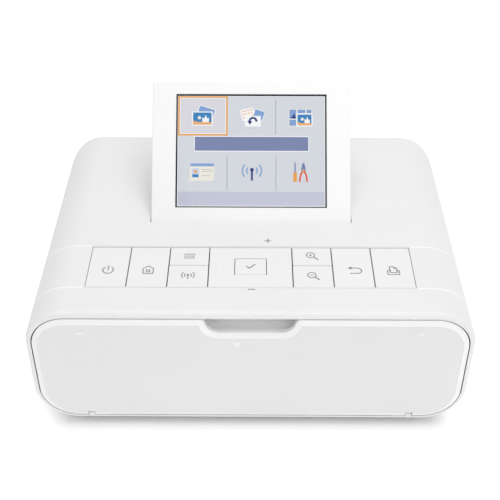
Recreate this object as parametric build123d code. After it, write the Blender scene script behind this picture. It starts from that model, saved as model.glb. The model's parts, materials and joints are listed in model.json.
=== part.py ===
from build123d import *
import math
import os

# Compact dye-sublimation photo printer, the kind that prints postcards from a paper
# cassette at the front.  All sizes in millimetres.
# Frame: +X to the right seen from the front, +Y to the back, +Z up.
# Origin: centre of the overall footprint, on the surface that the rubber feet stand on.

# ---------------------------------------------------------------- driving dimensions
BODY_HALF_W = 90.3        # half of the overall width, 180.6
OVERALL_HALF_D = 67.95    # half of the overall depth, 135.9
BODY_TOP = 63.3           # height of the flat top above the table
BODY_BOTTOM = 2.8         # underside of the case, above the table
RIM_FRONT = -66.7         # front rim of the case
SHELL_BACK = 66.35        # back face of the case
TOP_CORNER_R = 17.0       # long shoulders, seen from the front
BOTTOM_CORNER_R = 18.0
BACK_CORNER_R = 13.0      # back corners, seen from above
BACK_EDGE_R = 4.0
FRONT_EDGE_R = 1.8
SIDE_WALL = 2.1
TOP_WALL = 2.8
BOTTOM_WALL = 2.6
CAVITY_BACK = 64.15
GAP = 0.3                 # seam between covers and case
RUN = 0.05                # radial clearance of a running pin or shaft
SEAM = 0.15               # seam between fixed mouldings

# front cover over the paper bay
COVER_FACE = -67.8
COVER_EDGE = -66.7
COVER_BACK = -64.8
COVER_BEVEL = 2.3         # width of the bevel round the cover's face
COVER_GAP = 0.5           # open line between the cover and the case
COVER_SILL = 4.8          # top of the case's front edge under the cover
COVER_PIP = 0.15          # height of the two buffer pips on the cover's face
COVER_HINGE_Y = -66.6
COVER_HINGE_Z = 6.2
COVER_PIN_R = 0.45
COVER_EAR_R = 0.8
COVER_EAR_X = (66.2, 68.6)
NOTCH_FLAT = 12.4         # half length of the flat bottom of the finger notch
NOTCH_DEPTH = 6.85
NOTCH_LIP_R = 2.6
NOTCH_FLOOR_R = 5.6

# control band across the top
BAND_FRONT = -51.2
BAND_BACK = -24.2
BAND_LOW = 44.0
KEY_PITCH = 16.56
KEY_BLOCK_HALF = 67.0
PAD_HALF = KEY_BLOCK_HALF - 3 * KEY_PITCH
KEY_GAP = 0.4
BAND_RAIL = 0.45
KEY_SPLIT_Y = -36.7       # where a column is split into a rear and a front key
KEY_TRAVEL = 0.5
KEY_CAP = 1.8
KEYBOARD_TOP = 58.2
KEYBOARD_T = 1.6
DOME_H = 0.5
OK_HALF = (6.45, 5.05)
OK_CENTRE_Y = -37.5
PAD_PIVOT_Z = 60.4

# tilting display
DISPLAY_TILT = 46.7       # degrees the display is raised at rest
DISPLAY_AXIS_Y = -5.9
DISPLAY_AXIS_Z = 62.1
DISPLAY_FACE_UP = BODY_TOP - DISPLAY_AXIS_Z   # display face above the hinge axis when shut
DISPLAY_HALF_W = 43.95
DISPLAY_LENGTH = 63.15    # hinge axis to the far edge
DISPLAY_T = 8.2
DISPLAY_PIN_R = 0.7
SCREEN_HALF_W = 32.9      # lit picture
SCREEN_START = 7.1        # hinge axis to the near edge of the picture
SCREEN_END = 57.0
RECESS_HALF_W = 44.25
RECESS_FRONT = -7.4
RECESS_BACK = 57.65
RECESS_FLOOR = 54.7
RECESS_WALL = 1.8

# ribbon door on the right-hand side
DOOR_Y = (-15.8, 52.6)
DOOR_Z = (22.0, 45.2)
DOOR_AXIS_X = 89.05
DOOR_AXIS_Y = -14.55
DOOR_BARREL_R = 1.25
DOOR_PIN_R = 0.6

# paper bay behind the front cover
BAY_HALF_W = 59.5
BAY_WALL = 1.5
BAY_FLOOR = 8.2
BAY_ROOF = 44.0
BAY_FRONT = -62.0
BAY_BACK = -29.0

# print mechanism
PLATE_X = 66.0            # inner face of the side plates
PLATE_T = 1.2
PAN_BOTTOM = 5.5
CAPSTAN = (-14.0, 18.4)   # (y, z) of the shaft centres
CAPSTAN_R = 4.0
PINCH_R = 3.5
PAPER_GAP = 0.35
PLATEN = (21.0, 17.1)
PLATEN_R = 6.0
PICKUP = (-36.0, 49.5)
PICKUP_R = 6.0
SUPPLY = (0.0, 34.4)
SPOOL_CASE_R = 10.5
GEAR_MODULE = 0.5
CAPSTAN_TEETH = 42
PLATEN_TEETH = 42
PINION_TEETH = 29
TAKEUP_TEETH = 67
IDLER_TEETH = 44
PICKUP_TEETH = 24
GEAR_X = (-72.2, -68.2)
TAKEUP_Y = 41.5
HEAD_PIVOT = (-17.0, 50.0)
LEVER_PIVOT = (57.6, 49.6)
LEVER_PIN_R = 1.0
MOTOR_SHAFT_R = 1.0
CASSETTE_X = (-60.0, 64.0)

os.makedirs("parts", exist_ok=True)


# ---------------------------------------------------------------- helpers
def block(x0, x1, y0, y1, z0, z1):
    return Pos((x0 + x1) / 2, (y0 + y1) / 2, (z0 + z1) / 2) * Box(x1 - x0, y1 - y0, z1 - z0)


def rod_x(radius, x0, x1, centre):
    return Pos((x0 + x1) / 2, *centre) * Rot(0, 90, 0) * Cylinder(radius, x1 - x0)


def rod_y(radius, y0, y1, x, z):
    return Pos(x, (y0 + y1) / 2, z) * Rot(90, 0, 0) * Cylinder(radius, y1 - y0)


def rod_z(radius, z0, z1, x, y):
    return Pos(x, y, (z0 + z1) / 2) * Cylinder(radius, z1 - z0)


def both_sides(shape):
    """The shape and its mirror image in the plane x = 0."""
    return shape + mirror(shape, Plane.YZ)


def prism_y(face, y0, y1):
    """A face drawn in X and Z, extruded from y0 to y1."""
    return Pos(0, y1, 0) * extrude(Plane.XZ * face, y1 - y0)


def prism_x(face, x0, x1):
    """A face drawn in Y and Z, extruded from x0 to x1."""
    return Pos(x0, 0, 0) * extrude(Plane.YZ * face, x1 - x0)


def front_outline(half_w, z0, z1, top_r, bottom_r):
    """Rounded outline of the case seen from the front."""
    face = Pos(0, (z0 + z1) / 2) * Rectangle(2 * half_w, z1 - z0)
    face = fillet(face.vertices().sort_by(Axis.Y)[-2:], top_r)
    return fillet(face.vertices().sort_by(Axis.Y)[:2], bottom_r)


def plan_outline(half_w, y0, y1, back_r):
    """Outline of the case seen from above, with round back corners."""
    face = Pos(0, (y0 + y1) / 2) * Rectangle(2 * half_w, y1 - y0)
    return fillet(face.vertices().sort_by(Axis.Y)[-2:], back_r)


def save(shape, name):
    """Writes one sub-part."""
    shape.label = name
    export_step(shape, f"parts/{name}.step")


def compound(*shapes):
    """Several separate solids in one node."""
    return Compound(children=[s for shape in shapes for s in shape.solids()])


def gear_face(teeth, phase):
    """Spur gear outline: straight-flanked teeth with backlash, one tooth centred on phase."""
    pitch_r = GEAR_MODULE * teeth / 2
    tip_r = pitch_r + 0.85 * GEAR_MODULE
    root_r = pitch_r - 1.1 * GEAR_MODULE
    half_pitch = 0.41 * math.pi * GEAR_MODULE / 2
    half_tip = half_pitch - 0.85 * GEAR_MODULE * math.tan(math.radians(20))
    half_root = half_pitch + 0.7 * GEAR_MODULE * math.tan(math.radians(20))
    points = []
    for tooth in range(teeth):
        centre = phase + tooth * 2 * math.pi / teeth
        for radius, half in ((root_r, -half_root), (tip_r, -half_tip), (tip_r, half_tip), (root_r, half_root)):
            angle = centre + half / radius
            points.append((radius * math.cos(angle), radius * math.sin(angle)))
    return make_face(Polyline(*points, close=True))


def mesh_phase(centre_a, teeth_a, phase_a, centre_b, teeth_b):
    """Phase of gear b that puts its teeth in the gaps of gear a."""
    line = math.atan2(centre_b[1] - centre_a[1], centre_b[0] - centre_a[0])
    share = (line - phase_a) * teeth_a / (2 * math.pi)
    return line + math.pi - (0.5 - share) * 2 * math.pi / teeth_b


def meet(centre_a, radius_a, centre_b, radius_b, side):
    """Point at the two given distances from two centres, on the given side of the line."""
    dy, dz = centre_b[0] - centre_a[0], centre_b[1] - centre_a[1]
    span = math.hypot(dy, dz)
    along = (radius_a**2 - radius_b**2 + span**2) / (2 * span)
    off = side * math.sqrt(radius_a**2 - along**2)
    return (centre_a[0] + (along * dy - off * dz) / span, centre_a[1] + (along * dz + off * dy) / span)


# ---------------------------------------------------------------- case
def case_solid():
    """The outer shape of the case as one solid."""
    front = front_outline(BODY_HALF_W, BODY_BOTTOM, BODY_TOP, TOP_CORNER_R, BOTTOM_CORNER_R)
    body = prism_y(front, RIM_FRONT, SHELL_BACK)
    plan = plan_outline(BODY_HALF_W, RIM_FRONT - 1, SHELL_BACK, BACK_CORNER_R)
    body &= extrude(plan, BODY_TOP + 1)
    body = fillet(body.faces().sort_by(Axis.Y)[-1].edges(), BACK_EDGE_R)
    body = fillet(body.faces().sort_by(Axis.Y)[0].edges(), FRONT_EDGE_R)
    return both_sides(body & block(-100, 0, -80, 80, 0, 80))


def case_cavity():
    """The hollow of the case, open at the front."""
    half_w = BODY_HALF_W - SIDE_WALL
    low, high = BODY_BOTTOM + BOTTOM_WALL, BODY_TOP - TOP_WALL
    front = front_outline(half_w, low, high, TOP_CORNER_R - SIDE_WALL, BOTTOM_CORNER_R - SIDE_WALL)
    hollow = prism_y(front, RIM_FRONT - 3, CAVITY_BACK)
    plan = plan_outline(half_w, RIM_FRONT - 4, CAVITY_BACK, BACK_CORNER_R - SIDE_WALL)
    return hollow & extrude(plan, BODY_TOP + 1)


def cover_opening():
    """Shallow step at the front of the case that the front cover closes."""
    outline = front_outline(BODY_HALF_W - SIDE_WALL, COVER_SILL, BODY_TOP - TOP_WALL,
                            TOP_CORNER_R - SIDE_WALL, BOTTOM_CORNER_R - SIDE_WALL)
    return prism_y(outline, RIM_FRONT - 3, COVER_BACK + COVER_GAP)


BODY = case_solid() - cover_opening()
CAVITY = case_cavity()
WALLS = BODY - CAVITY
BASE_HALF_W = 69.0
REAR_OPENING = (74.0, 8.0, 54.0)   # half width, low z, high z
PORT_Z = 27.0
PORT_A_Y = 30.0
PORT_B_Y = 8.0
CARD_Y = (-58.0, -31.0)
CARD_Z = (21.6, 25.4)


def outer_shell():
    """Wrap-round case: top, sides, bottom corners and back in one moulding."""
    shell = WALLS - block(-BASE_HALF_W, BASE_HALF_W, RIM_FRONT - 3, CAVITY_BACK, 0, BODY_BOTTOM + BOTTOM_WALL)
    shell -= block(-100, 100, BAND_FRONT, BAND_BACK, BAND_LOW, 80)
    wall = RECESS_WALL
    shell -= block(-RECESS_HALF_W, RECESS_HALF_W, RECESS_FRONT, RECESS_BACK, RECESS_FLOOR, 80)
    tub = block(-RECESS_HALF_W - wall, RECESS_HALF_W + wall, RECESS_FRONT - wall, RECESS_BACK + wall,
                RECESS_FLOOR - 2.0, BODY_TOP - 1)
    tub -= block(-RECESS_HALF_W, RECESS_HALF_W, RECESS_FRONT, RECESS_BACK, RECESS_FLOOR, 80)
    shell += tub
    shell -= rod_x(DISPLAY_PIN_R + RUN, -60, 60, (DISPLAY_AXIS_Y, DISPLAY_AXIS_Z)) & block(
        -46.6, 46.6, -20, 20, 50, 70)
    shell -= block(-11, 11, RECESS_BACK - 1, RECESS_BACK + 4, BODY_TOP - 1.6, 80)
    shell -= block(85, 95, DOOR_Y[0] - GAP, DOOR_Y[1] + GAP, DOOR_Z[0] - GAP, DOOR_Z[1] + GAP)
    shell += door_bosses()
    shell -= rod_z(DOOR_PIN_R + RUN, DOOR_Z[0] - 2.0, DOOR_Z[1] + 2.0, DOOR_AXIS_X, DOOR_AXIS_Y)
    shell -= block(85, 95, CARD_Y[0] + 1.2, CARD_Y[1] - 1.2, CARD_Z[0] + 0.4, CARD_Z[1] - 0.4)
    shell -= block(-95, -85, PORT_A_Y - 7.2, PORT_A_Y + 7.2, PORT_Z - 3.6, PORT_Z + 3.6)
    shell -= block(-95, -85, PORT_B_Y - 4.8, PORT_B_Y + 4.8, PORT_Z - 2.8, PORT_Z + 2.8)
    half, low, high = REAR_OPENING
    return shell - block(-half, half, CAVITY_BACK - 2, 70, low, high)


def door_bosses():
    """Blocks inside the case wall that hold the ribbon door's pins."""
    above = block(86.9, 89.0, DOOR_AXIS_Y - 2.2, DOOR_AXIS_Y + 2.2, DOOR_Z[1] + GAP, DOOR_Z[1] + 3.0)
    below = block(86.9, 89.0, DOOR_AXIS_Y - 2.2, DOOR_AXIS_Y + 2.2, DOOR_Z[0] - 3.0, DOOR_Z[0] - GAP)
    return above + below


def control_fascia():
    """Band round the keys, with thin rails in front of and behind them."""
    band = WALLS & block(-100, 100, BAND_FRONT + SEAM, BAND_BACK - SEAM, BAND_LOW + SEAM, 80)
    rail = SEAM + BAND_RAIL
    return band - block(-KEY_BLOCK_HALF, KEY_BLOCK_HALF, BAND_FRONT + rail, BAND_BACK - rail, 55, 80)


FOOT_R = 5.0
FOOT_SINK = 0.7
FOOT_AT = [(58.0, -54.0), (58.0, 52.0), (-58.0, -54.0), (-58.0, 52.0)]
SCREW_AT = [(62.0, -22.0), (62.0, 40.0), (-62.0, -22.0), (-62.0, 40.0)]
SCREW_R = 1.3
SCREW_HEAD_R = 2.6
PLATE_BOTTOM_TOP = BODY_BOTTOM + BOTTOM_WALL


def base_plate():
    """Flat bottom between the two bottom corners of the wrap, with the cover's hinge ears."""
    half = BASE_HALF_W - SEAM
    plate = BODY & block(-half, half, -80, CAVITY_BACK - SEAM, 0, PLATE_BOTTOM_TOP)
    ear = block(COVER_EAR_X[0], COVER_EAR_X[1], COVER_HINGE_Y - 0.4, COVER_HINGE_Y + COVER_EAR_R,
                COVER_SILL - 0.6, COVER_HINGE_Z)
    ear += rod_x(COVER_EAR_R, COVER_EAR_X[0], COVER_EAR_X[1], (COVER_HINGE_Y, COVER_HINGE_Z))
    ear -= rod_x(COVER_PIN_R + RUN, COVER_EAR_X[0] - 1, COVER_EAR_X[1] + 1, (COVER_HINGE_Y, COVER_HINGE_Z))
    plate += both_sides(ear)
    for x, y in FOOT_AT:
        plate -= rod_z(FOOT_R + 0.1, 0, BODY_BOTTOM + FOOT_SINK, x, y)
    for x, y in SCREW_AT:
        plate -= rod_z(SCREW_R + 0.2, 0, 10, x, y) + rod_z(SCREW_HEAD_R + 0.3, 0, BODY_BOTTOM + 1.4, x, y)
    return plate


def rubber_feet():
    """Four round feet sunk a little into the base plate."""
    foot = rod_z(FOOT_R, 0, BODY_BOTTOM + FOOT_SINK, 0, 0)
    foot = chamfer(foot.edges().sort_by(Axis.Z)[0], 0.6)
    return compound(*[Pos(x, y, 0) * foot for x, y in FOOT_AT])


def case_screws():
    """Cross-head screws that hold the base plate to the chassis pan."""
    screw = rod_z(SCREW_R, BODY_BOTTOM + 1.0, PAN_BOTTOM + 3.0, 0, 0)
    screw += rod_z(SCREW_HEAD_R, BODY_BOTTOM + 0.1, BODY_BOTTOM + 1.4, 0, 0)
    slot = Box(3.0, 0.6, 1.2) + Box(0.6, 3.0, 1.2)
    screw -= Pos(0, 0, BODY_BOTTOM + 0.1) * slot
    return compound(*[Pos(x, y, 0) * screw for x, y in SCREW_AT])


PAPER_SLOT = (53.0, 20.5, 26.5)    # rear slot: half width, low z, high z
INLET_X, INLET_Z = -60.0, 37.0
LOCK_X, LOCK_Z = -66.0, 14.5


def rear_panel():
    """Back cover with air vents, the rear paper slot, the power inlet and the cable-lock slot."""
    half, low, high = REAR_OPENING
    face = front_outline(half + 1.6, low - 1.6, high + 1.6, 5, 5)
    plate = prism_y(face, SHELL_BACK + SEAM, OVERALL_HALF_D)
    plate = chamfer(plate.faces().sort_by(Axis.Y)[-1].edges(), 0.5)
    plug = block(-half + 0.2, half - 0.2, CAVITY_BACK + 0.2, SHELL_BACK + SEAM, low + 0.2, high - 0.2)
    plug -= block(-half + 1.8, half - 1.8, 60, SHELL_BACK + SEAM, low + 1.8, high - 1.8)
    panel = plate + plug
    slot_half, slot_low, slot_high = PAPER_SLOT
    panel -= block(-slot_half, slot_half, 60, 70, slot_low, slot_high)
    vent = block(-1.1, 1.1, 60, 70, 31.0, 48.0)
    for count in range(19):
        panel -= Pos(-40.5 + 4.5 * count, 0, 0) * vent
    panel -= rod_y(4.1, 60, 70, INLET_X, INLET_Z)
    return panel - block(LOCK_X - 3.6, LOCK_X + 3.6, 60, 70, LOCK_Z - 1.6, LOCK_Z + 1.6)


def dc_inlet():
    """Round power inlet with its centre contact."""
    body = block(INLET_X - 5.0, INLET_X + 5.0, 54.0, CAVITY_BACK - 0.2, INLET_Z - 5.0, INLET_Z + 5.0)
    body += rod_y(3.9, CAVITY_BACK - 1.0, OVERALL_HALF_D - 0.6, INLET_X, INLET_Z)
    body -= rod_y(2.8, 57.0, 70, INLET_X, INLET_Z)
    return body + rod_y(0.8, 56.0, OVERALL_HALF_D - 2.0, INLET_X, INLET_Z)


# ---------------------------------------------------------------- front cover
def notch_face(inset):
    """Region cut out of the cover's top edge, grown by the inset."""
    turn = math.acos(1 - NOTCH_DEPTH / (NOTCH_LIP_R + NOTCH_FLOOR_R))
    top = BODY_TOP - TOP_WALL - COVER_GAP
    low = top - NOTCH_DEPTH
    lip_r, floor_r = NOTCH_LIP_R - inset, NOTCH_FLOOR_R + inset
    floor_c = (NOTCH_FLAT, low + NOTCH_FLOOR_R)
    lip_c = (NOTCH_FLAT + (NOTCH_LIP_R + NOTCH_FLOOR_R) * math.sin(turn), top - NOTCH_LIP_R)
    middle = (floor_c[0] + floor_r * math.sin(turn), floor_c[1] - floor_r * math.cos(turn))
    floor_mid = (floor_c[0] + floor_r * math.sin(turn / 2), floor_c[1] - floor_r * math.cos(turn / 2))
    lip_mid = (lip_c[0] - lip_r * math.sin(turn / 2), lip_c[1] + lip_r * math.cos(turn / 2))
    lip_end = (lip_c[0], top - inset)
    edges = [Line((-NOTCH_FLAT, low - inset), (NOTCH_FLAT, low - inset))]
    for side in (1, -1):
        def at(point):
            return (side * point[0], point[1])
        edges.append(ThreePointArc(at((NOTCH_FLAT, low - inset)), at(floor_mid), at(middle)))
        edges.append(ThreePointArc(at(middle), at(lip_mid), at(lip_end)))
        edges.append(Line(at(lip_end), at((lip_c[0], top + 5))))
    edges.append(Line((-lip_c[0], top + 5), (lip_c[0], top + 5)))
    return make_face(edges)


def cover_outline(inset):
    """Outline of the front cover with its finger notch, shrunk by the inset."""
    step = COVER_GAP + inset
    face = front_outline(BODY_HALF_W - SIDE_WALL - step, COVER_SILL + step, BODY_TOP - TOP_WALL - step,
                         TOP_CORNER_R - SIDE_WALL - step, BOTTOM_CORNER_R - SIDE_WALL - step)
    return face - notch_face(inset)


POCKET_HALF_W = 22.0
POCKET_BACK = -58.3
POCKET_LOW = 50.0
POCKET_TOP = 59.2
POCKET_WALL = 1.2
POCKET_CORNER_R = 7.0
POCKET_SCOOP_R = 2.5      # round at the foot of the pocket's back wall


def front_cover():
    """Drop-down door over the paper bay, bevelled all round, with a finger pocket behind its notch."""
    cover = prism_y(cover_outline(0), COVER_EDGE, COVER_BACK)
    edge = (Plane.XZ.offset(-COVER_EDGE) * cover_outline(0)).face()
    rim = (Plane.XZ.offset(-COVER_FACE) * cover_outline(COVER_BEVEL)).face()
    cover += loft([edge, rim], ruled=True)
    pocket = block(-POCKET_HALF_W, POCKET_HALF_W, COVER_BACK, POCKET_BACK, POCKET_LOW, POCKET_TOP)
    pocket = fillet(pocket.edges().filter_by(Axis.Y).sort_by(Axis.Z)[:2], POCKET_CORNER_R)
    hollow = block(-POCKET_HALF_W + POCKET_WALL, POCKET_HALF_W - POCKET_WALL, COVER_BACK - 5,
                   POCKET_BACK - POCKET_WALL, POCKET_LOW + POCKET_WALL, POCKET_TOP + 5)
    hollow = fillet(hollow.edges().filter_by(Axis.Y).sort_by(Axis.Z)[:2], POCKET_CORNER_R - POCKET_WALL)
    scoop = hollow.faces().sort_by(Axis.Y)[-1].edges().sort_by(Axis.Z)[:-1]
    hollow = fillet(scoop, POCKET_SCOOP_R)
    cover += pocket - hollow
    barrel = rod_x(COVER_EAR_R, 60.6, COVER_EAR_X[0] - GAP, (COVER_HINGE_Y, COVER_HINGE_Z))
    cover += both_sides(barrel)
    relief = block(COVER_EAR_X[0] - GAP, COVER_EAR_X[1] + GAP, -70, COVER_BACK + 1, 0, COVER_HINGE_Z + 1.9)
    cover -= both_sides(relief)
    hole = rod_x(COVER_PIN_R, 62.6, COVER_EAR_X[0], (COVER_HINGE_Y, COVER_HINGE_Z))
    cover -= both_sides(hole)
    pip = block(66.3, 68.9, COVER_FACE - COVER_PIP, COVER_EDGE, 53.3, 54.1)
    return cover + both_sides(pip)


def front_cover_pins():
    """Two steel pins fixed in the cover that turn in the base plate's ears."""
    pin = rod_x(COVER_PIN_R, 62.6, COVER_EAR_X[1] - 0.1, (COVER_HINGE_Y, COVER_HINGE_Z))
    return compound(pin, mirror(pin, Plane.YZ))


# ---------------------------------------------------------------- ribbon door
def ribbon_door():
    """Side door over the ribbon cassette, with a barrel along its front edge and a ribbed thumb grip."""
    door = block(BODY_HALF_W - SIDE_WALL, BODY_HALF_W, DOOR_AXIS_Y, DOOR_Y[1], *DOOR_Z)
    door = fillet(door.edges().filter_by(Axis.X).group_by(Axis.Y)[-1], 2.5)
    door += rod_z(DOOR_BARREL_R, DOOR_Z[0], DOOR_Z[1], DOOR_AXIS_X, DOOR_AXIS_Y)
    groove = block(BODY_HALF_W - 0.5, BODY_HALF_W + 1, 39.6, 50.6, 27.0, 41.0)
    for count in range(5):
        groove -= block(BODY_HALF_W - 1, BODY_HALF_W + 2, 41.0 + 1.9 * count, 41.8 + 1.9 * count, 26.0, 42.0)
    door -= groove
    return door - rod_z(DOOR_PIN_R, DOOR_Z[0] - 1, DOOR_Z[1] + 1, DOOR_AXIS_X, DOOR_AXIS_Y)


def ribbon_door_pins():
    """Steel pin through the door's barrel, its ends turning in the case."""
    return rod_z(DOOR_PIN_R, DOOR_Z[0] - 1.8, DOOR_Z[1] + 1.8, DOOR_AXIS_X, DOOR_AXIS_Y)


# ---------------------------------------------------------------- display
def raised(shape):
    """A display piece, drawn shut with the hinge axis on the X axis, moved to its raised place."""
    return Pos(0, DISPLAY_AXIS_Y, DISPLAY_AXIS_Z) * Rot(DISPLAY_TILT, 0, 0) * shape


BEZEL_T = 3.0
WINDOW_MARGIN = 0.5
WINDOW_T = 0.8


def display_slab(z0, z1):
    """Part of the display housing between two heights, rounded at its corners and its hinge edge."""
    slab = block(-DISPLAY_HALF_W, DISPLAY_HALF_W, -DISPLAY_FACE_UP, DISPLAY_LENGTH, z0, z1)
    return fillet(slab.edges().filter_by(Axis.Z).group_by(Axis.Y)[-1], 1.6)


def display_bezel():
    """Front frame of the display."""
    face = DISPLAY_FACE_UP
    slab = display_slab(face - BEZEL_T, face)
    hinge_edge = slab.edges().filter_by(Axis.X).group_by(Axis.Y)[0].sort_by(Axis.Z)[-1]
    slab = fillet(hinge_edge, 1.15)
    rim = [e for e in slab.faces().sort_by(Axis.Z)[-1].edges() if e.center().Y > 0]
    slab = fillet(rim, 0.6)
    half = SCREEN_HALF_W + WINDOW_MARGIN
    slab -= block(-half, half, SCREEN_START - WINDOW_MARGIN, SCREEN_END + WINDOW_MARGIN, -10, 10)
    slab -= block(-half - 1.5, half + 1.5, SCREEN_START - 2.2, SCREEN_END + 2.2, -10, face - 1.2)
    slab -= rod_x(DISPLAY_PIN_R, -DISPLAY_HALF_W - 1, -DISPLAY_HALF_W + 4, (0, 0))
    slab -= rod_x(DISPLAY_PIN_R, DISPLAY_HALF_W - 4, DISPLAY_HALF_W + 1, (0, 0))
    return raised(slab)


def display_back():
    """Rear shell of the display, hollow for the panel."""
    face = DISPLAY_FACE_UP
    slab = display_slab(face - DISPLAY_T, face - BEZEL_T)
    low_edge = slab.edges().filter_by(Axis.X).group_by(Axis.Y)[0].sort_by(Axis.Z)[0]
    slab = fillet(low_edge, 3.0)
    rim = [e for e in slab.faces().sort_by(Axis.Z)[0].edges() if e.center().Y > 5]
    slab = fillet(rim, 1.2)
    slab -= block(-DISPLAY_HALF_W + 2, DISPLAY_HALF_W - 2, 3.0, DISPLAY_LENGTH - 2,
                  face - DISPLAY_T + 1.6, face - BEZEL_T + 1)
    return raised(slab)


def display_window():
    """Clear window in the bezel."""
    half = SCREEN_HALF_W + WINDOW_MARGIN - 0.05
    face = DISPLAY_FACE_UP
    start, end = SCREEN_START - WINDOW_MARGIN + 0.05, SCREEN_END + WINDOW_MARGIN - 0.05
    return raised(block(-half, half, start, end, face - 0.15 - WINDOW_T, face - 0.15))


def lcd_module():
    """Colour panel and its backlight in a thin metal frame, behind the window."""
    face = DISPLAY_FACE_UP
    half = SCREEN_HALF_W + 1.6
    panel = block(-half, half, SCREEN_START - 1.8, SCREEN_END + 1.8, face - 4.6, face - 1.25)
    return raised(panel)


def display_hinge_pins():
    """Two steel pins fixed in the bezel that turn in the case."""
    pin = rod_x(DISPLAY_PIN_R, DISPLAY_HALF_W - 3.9, 46.2, (0, 0))
    pin += rod_x(DISPLAY_PIN_R, -46.2, -DISPLAY_HALF_W + 3.9, (0, 0))
    return compound(raised(pin))


# ---------------------------------------------------------------- keys
CAP_TOP = BODY_TOP - 0.1
STEM_BOTTOM = KEYBOARD_TOP + DOME_H + KEY_TRAVEL + 0.1
RAIL = SEAM + BAND_RAIL
KEY_FRONT = BAND_FRONT + RAIL + 0.2
KEY_BACK = BAND_BACK - RAIL - 0.2


def key_cap(x0, x1, y0, y1, low=CAP_TOP - KEY_CAP):
    """Flat key cap with softened edges and corners."""
    cap = block(x0, x1, y0, y1, low, CAP_TOP)
    cap = fillet(cap.edges().filter_by(Axis.Z), 0.5)
    return fillet(cap.faces().sort_by(Axis.Z)[-1].edges(), 0.25)


def key(x0, x1, y0, y1):
    """Key cap with the stem that presses its switch."""
    cap = key_cap(x0, x1, y0, y1)
    stem = rod_z(1.6, STEM_BOTTOM, CAP_TOP - 1, (x0 + x1) / 2, (y0 + y1) / 2)
    return cap + stem


def key_columns():
    """Name, x range and y range of each plain key."""
    half = KEY_GAP / 2
    left = -KEY_BLOCK_HALF
    right = PAD_HALF
    split = KEY_SPLIT_Y
    spans = {
        "power_key": (left, KEY_FRONT, KEY_BACK),
        "home_key": (left + KEY_PITCH, KEY_FRONT, KEY_BACK),
        "menu_key": (left + 2 * KEY_PITCH, split + 0.15, KEY_BACK),
        "wireless_key": (left + 2 * KEY_PITCH, KEY_FRONT, split - 0.15),
        "zoom_in_key": (right, split + 0.15, KEY_BACK),
        "zoom_out_key": (right, KEY_FRONT, split - 0.15),
        "back_key": (right + KEY_PITCH, KEY_FRONT, KEY_BACK),
        "print_key": (right + 2 * KEY_PITCH, KEY_FRONT, KEY_BACK),
    }
    return {name: (x + half, x + KEY_PITCH - half, y0, y1) for name, (x, y0, y1) in spans.items()}


KEYS = key_columns()
WEB_TOP = PAD_PIVOT_Z + 0.2
WEB_HALF_X = 10.5
PAD_SWITCH_X = 13.2
PAD_SWITCH_Y = 9.6
WEB_T = 0.8


def direction_pad():
    """Square rocking pad round the centre key."""
    half = PAD_HALF - KEY_GAP / 2
    cap = key_cap(-half, half, KEY_FRONT, KEY_BACK)
    for x in (PAD_SWITCH_X, -PAD_SWITCH_X):
        cap += rod_z(1.4, STEM_BOTTOM, CAP_TOP - 1, x, OK_CENTRE_Y)
    hole = (OK_HALF[0] + 0.25, OK_HALF[1] + 0.25)
    return cap - block(-hole[0], hole[0], OK_CENTRE_Y - hole[1], OK_CENTRE_Y + hole[1], 50, 70)


def pad_web():
    """Rubber ring under the pad that lets it rock both ways, with the front and rear stems."""
    web = block(-WEB_HALF_X, WEB_HALF_X, KEY_FRONT + 2, KEY_BACK - 2, WEB_TOP - WEB_T, WEB_TOP)
    web -= block(-8.0, 8.0, OK_CENTRE_Y - 6.6, OK_CENTRE_Y + 6.6, 50, 70)
    for y in (PAD_SWITCH_Y, -PAD_SWITCH_Y):
        web += rod_z(1.4, STEM_BOTTOM, WEB_TOP - 0.2, 0, OK_CENTRE_Y + y)
    return web


def pad_switches():
    """Places of the four switches under the pad."""
    places = [(x, OK_CENTRE_Y) for x in (PAD_SWITCH_X, -PAD_SWITCH_X)]
    return places + [(0, OK_CENTRE_Y + y) for y in (PAD_SWITCH_Y, -PAD_SWITCH_Y)]


def ok_key():
    """Key in the middle of the pad."""
    half_x, half_y = OK_HALF
    cap = key_cap(-half_x, half_x, OK_CENTRE_Y - half_y, OK_CENTRE_Y + half_y, CAP_TOP - 2.4)
    return cap + rod_z(1.6, STEM_BOTTOM, CAP_TOP - 1, 0, OK_CENTRE_Y)


def keypad_board():
    """Circuit board under the keys, with a dome switch below each stem."""
    board = block(-66.0, 66.0, BAND_FRONT + 1.0, BAND_BACK - 1.0, KEYBOARD_TOP - KEYBOARD_T, KEYBOARD_TOP)
    places = [((x0 + x1) / 2, (y0 + y1) / 2) for x0, x1, y0, y1 in KEYS.values()]
    places += pad_switches() + [(0, OK_CENTRE_Y)]
    domes = [rod_z(2.2, KEYBOARD_TOP, KEYBOARD_TOP + DOME_H, x, y) for x, y in places]
    return compound(board, *domes)


def keypad_cable():
    """Flat flexible cable from the key board down to the main board."""
    run = block(-73.0, -66.2, -34.0, -26.0, KEYBOARD_TOP - 0.9, KEYBOARD_TOP - 0.6)
    return run + block(-73.0, -72.7, -34.0, -26.0, 42.0, KEYBOARD_TOP - 0.6)


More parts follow.
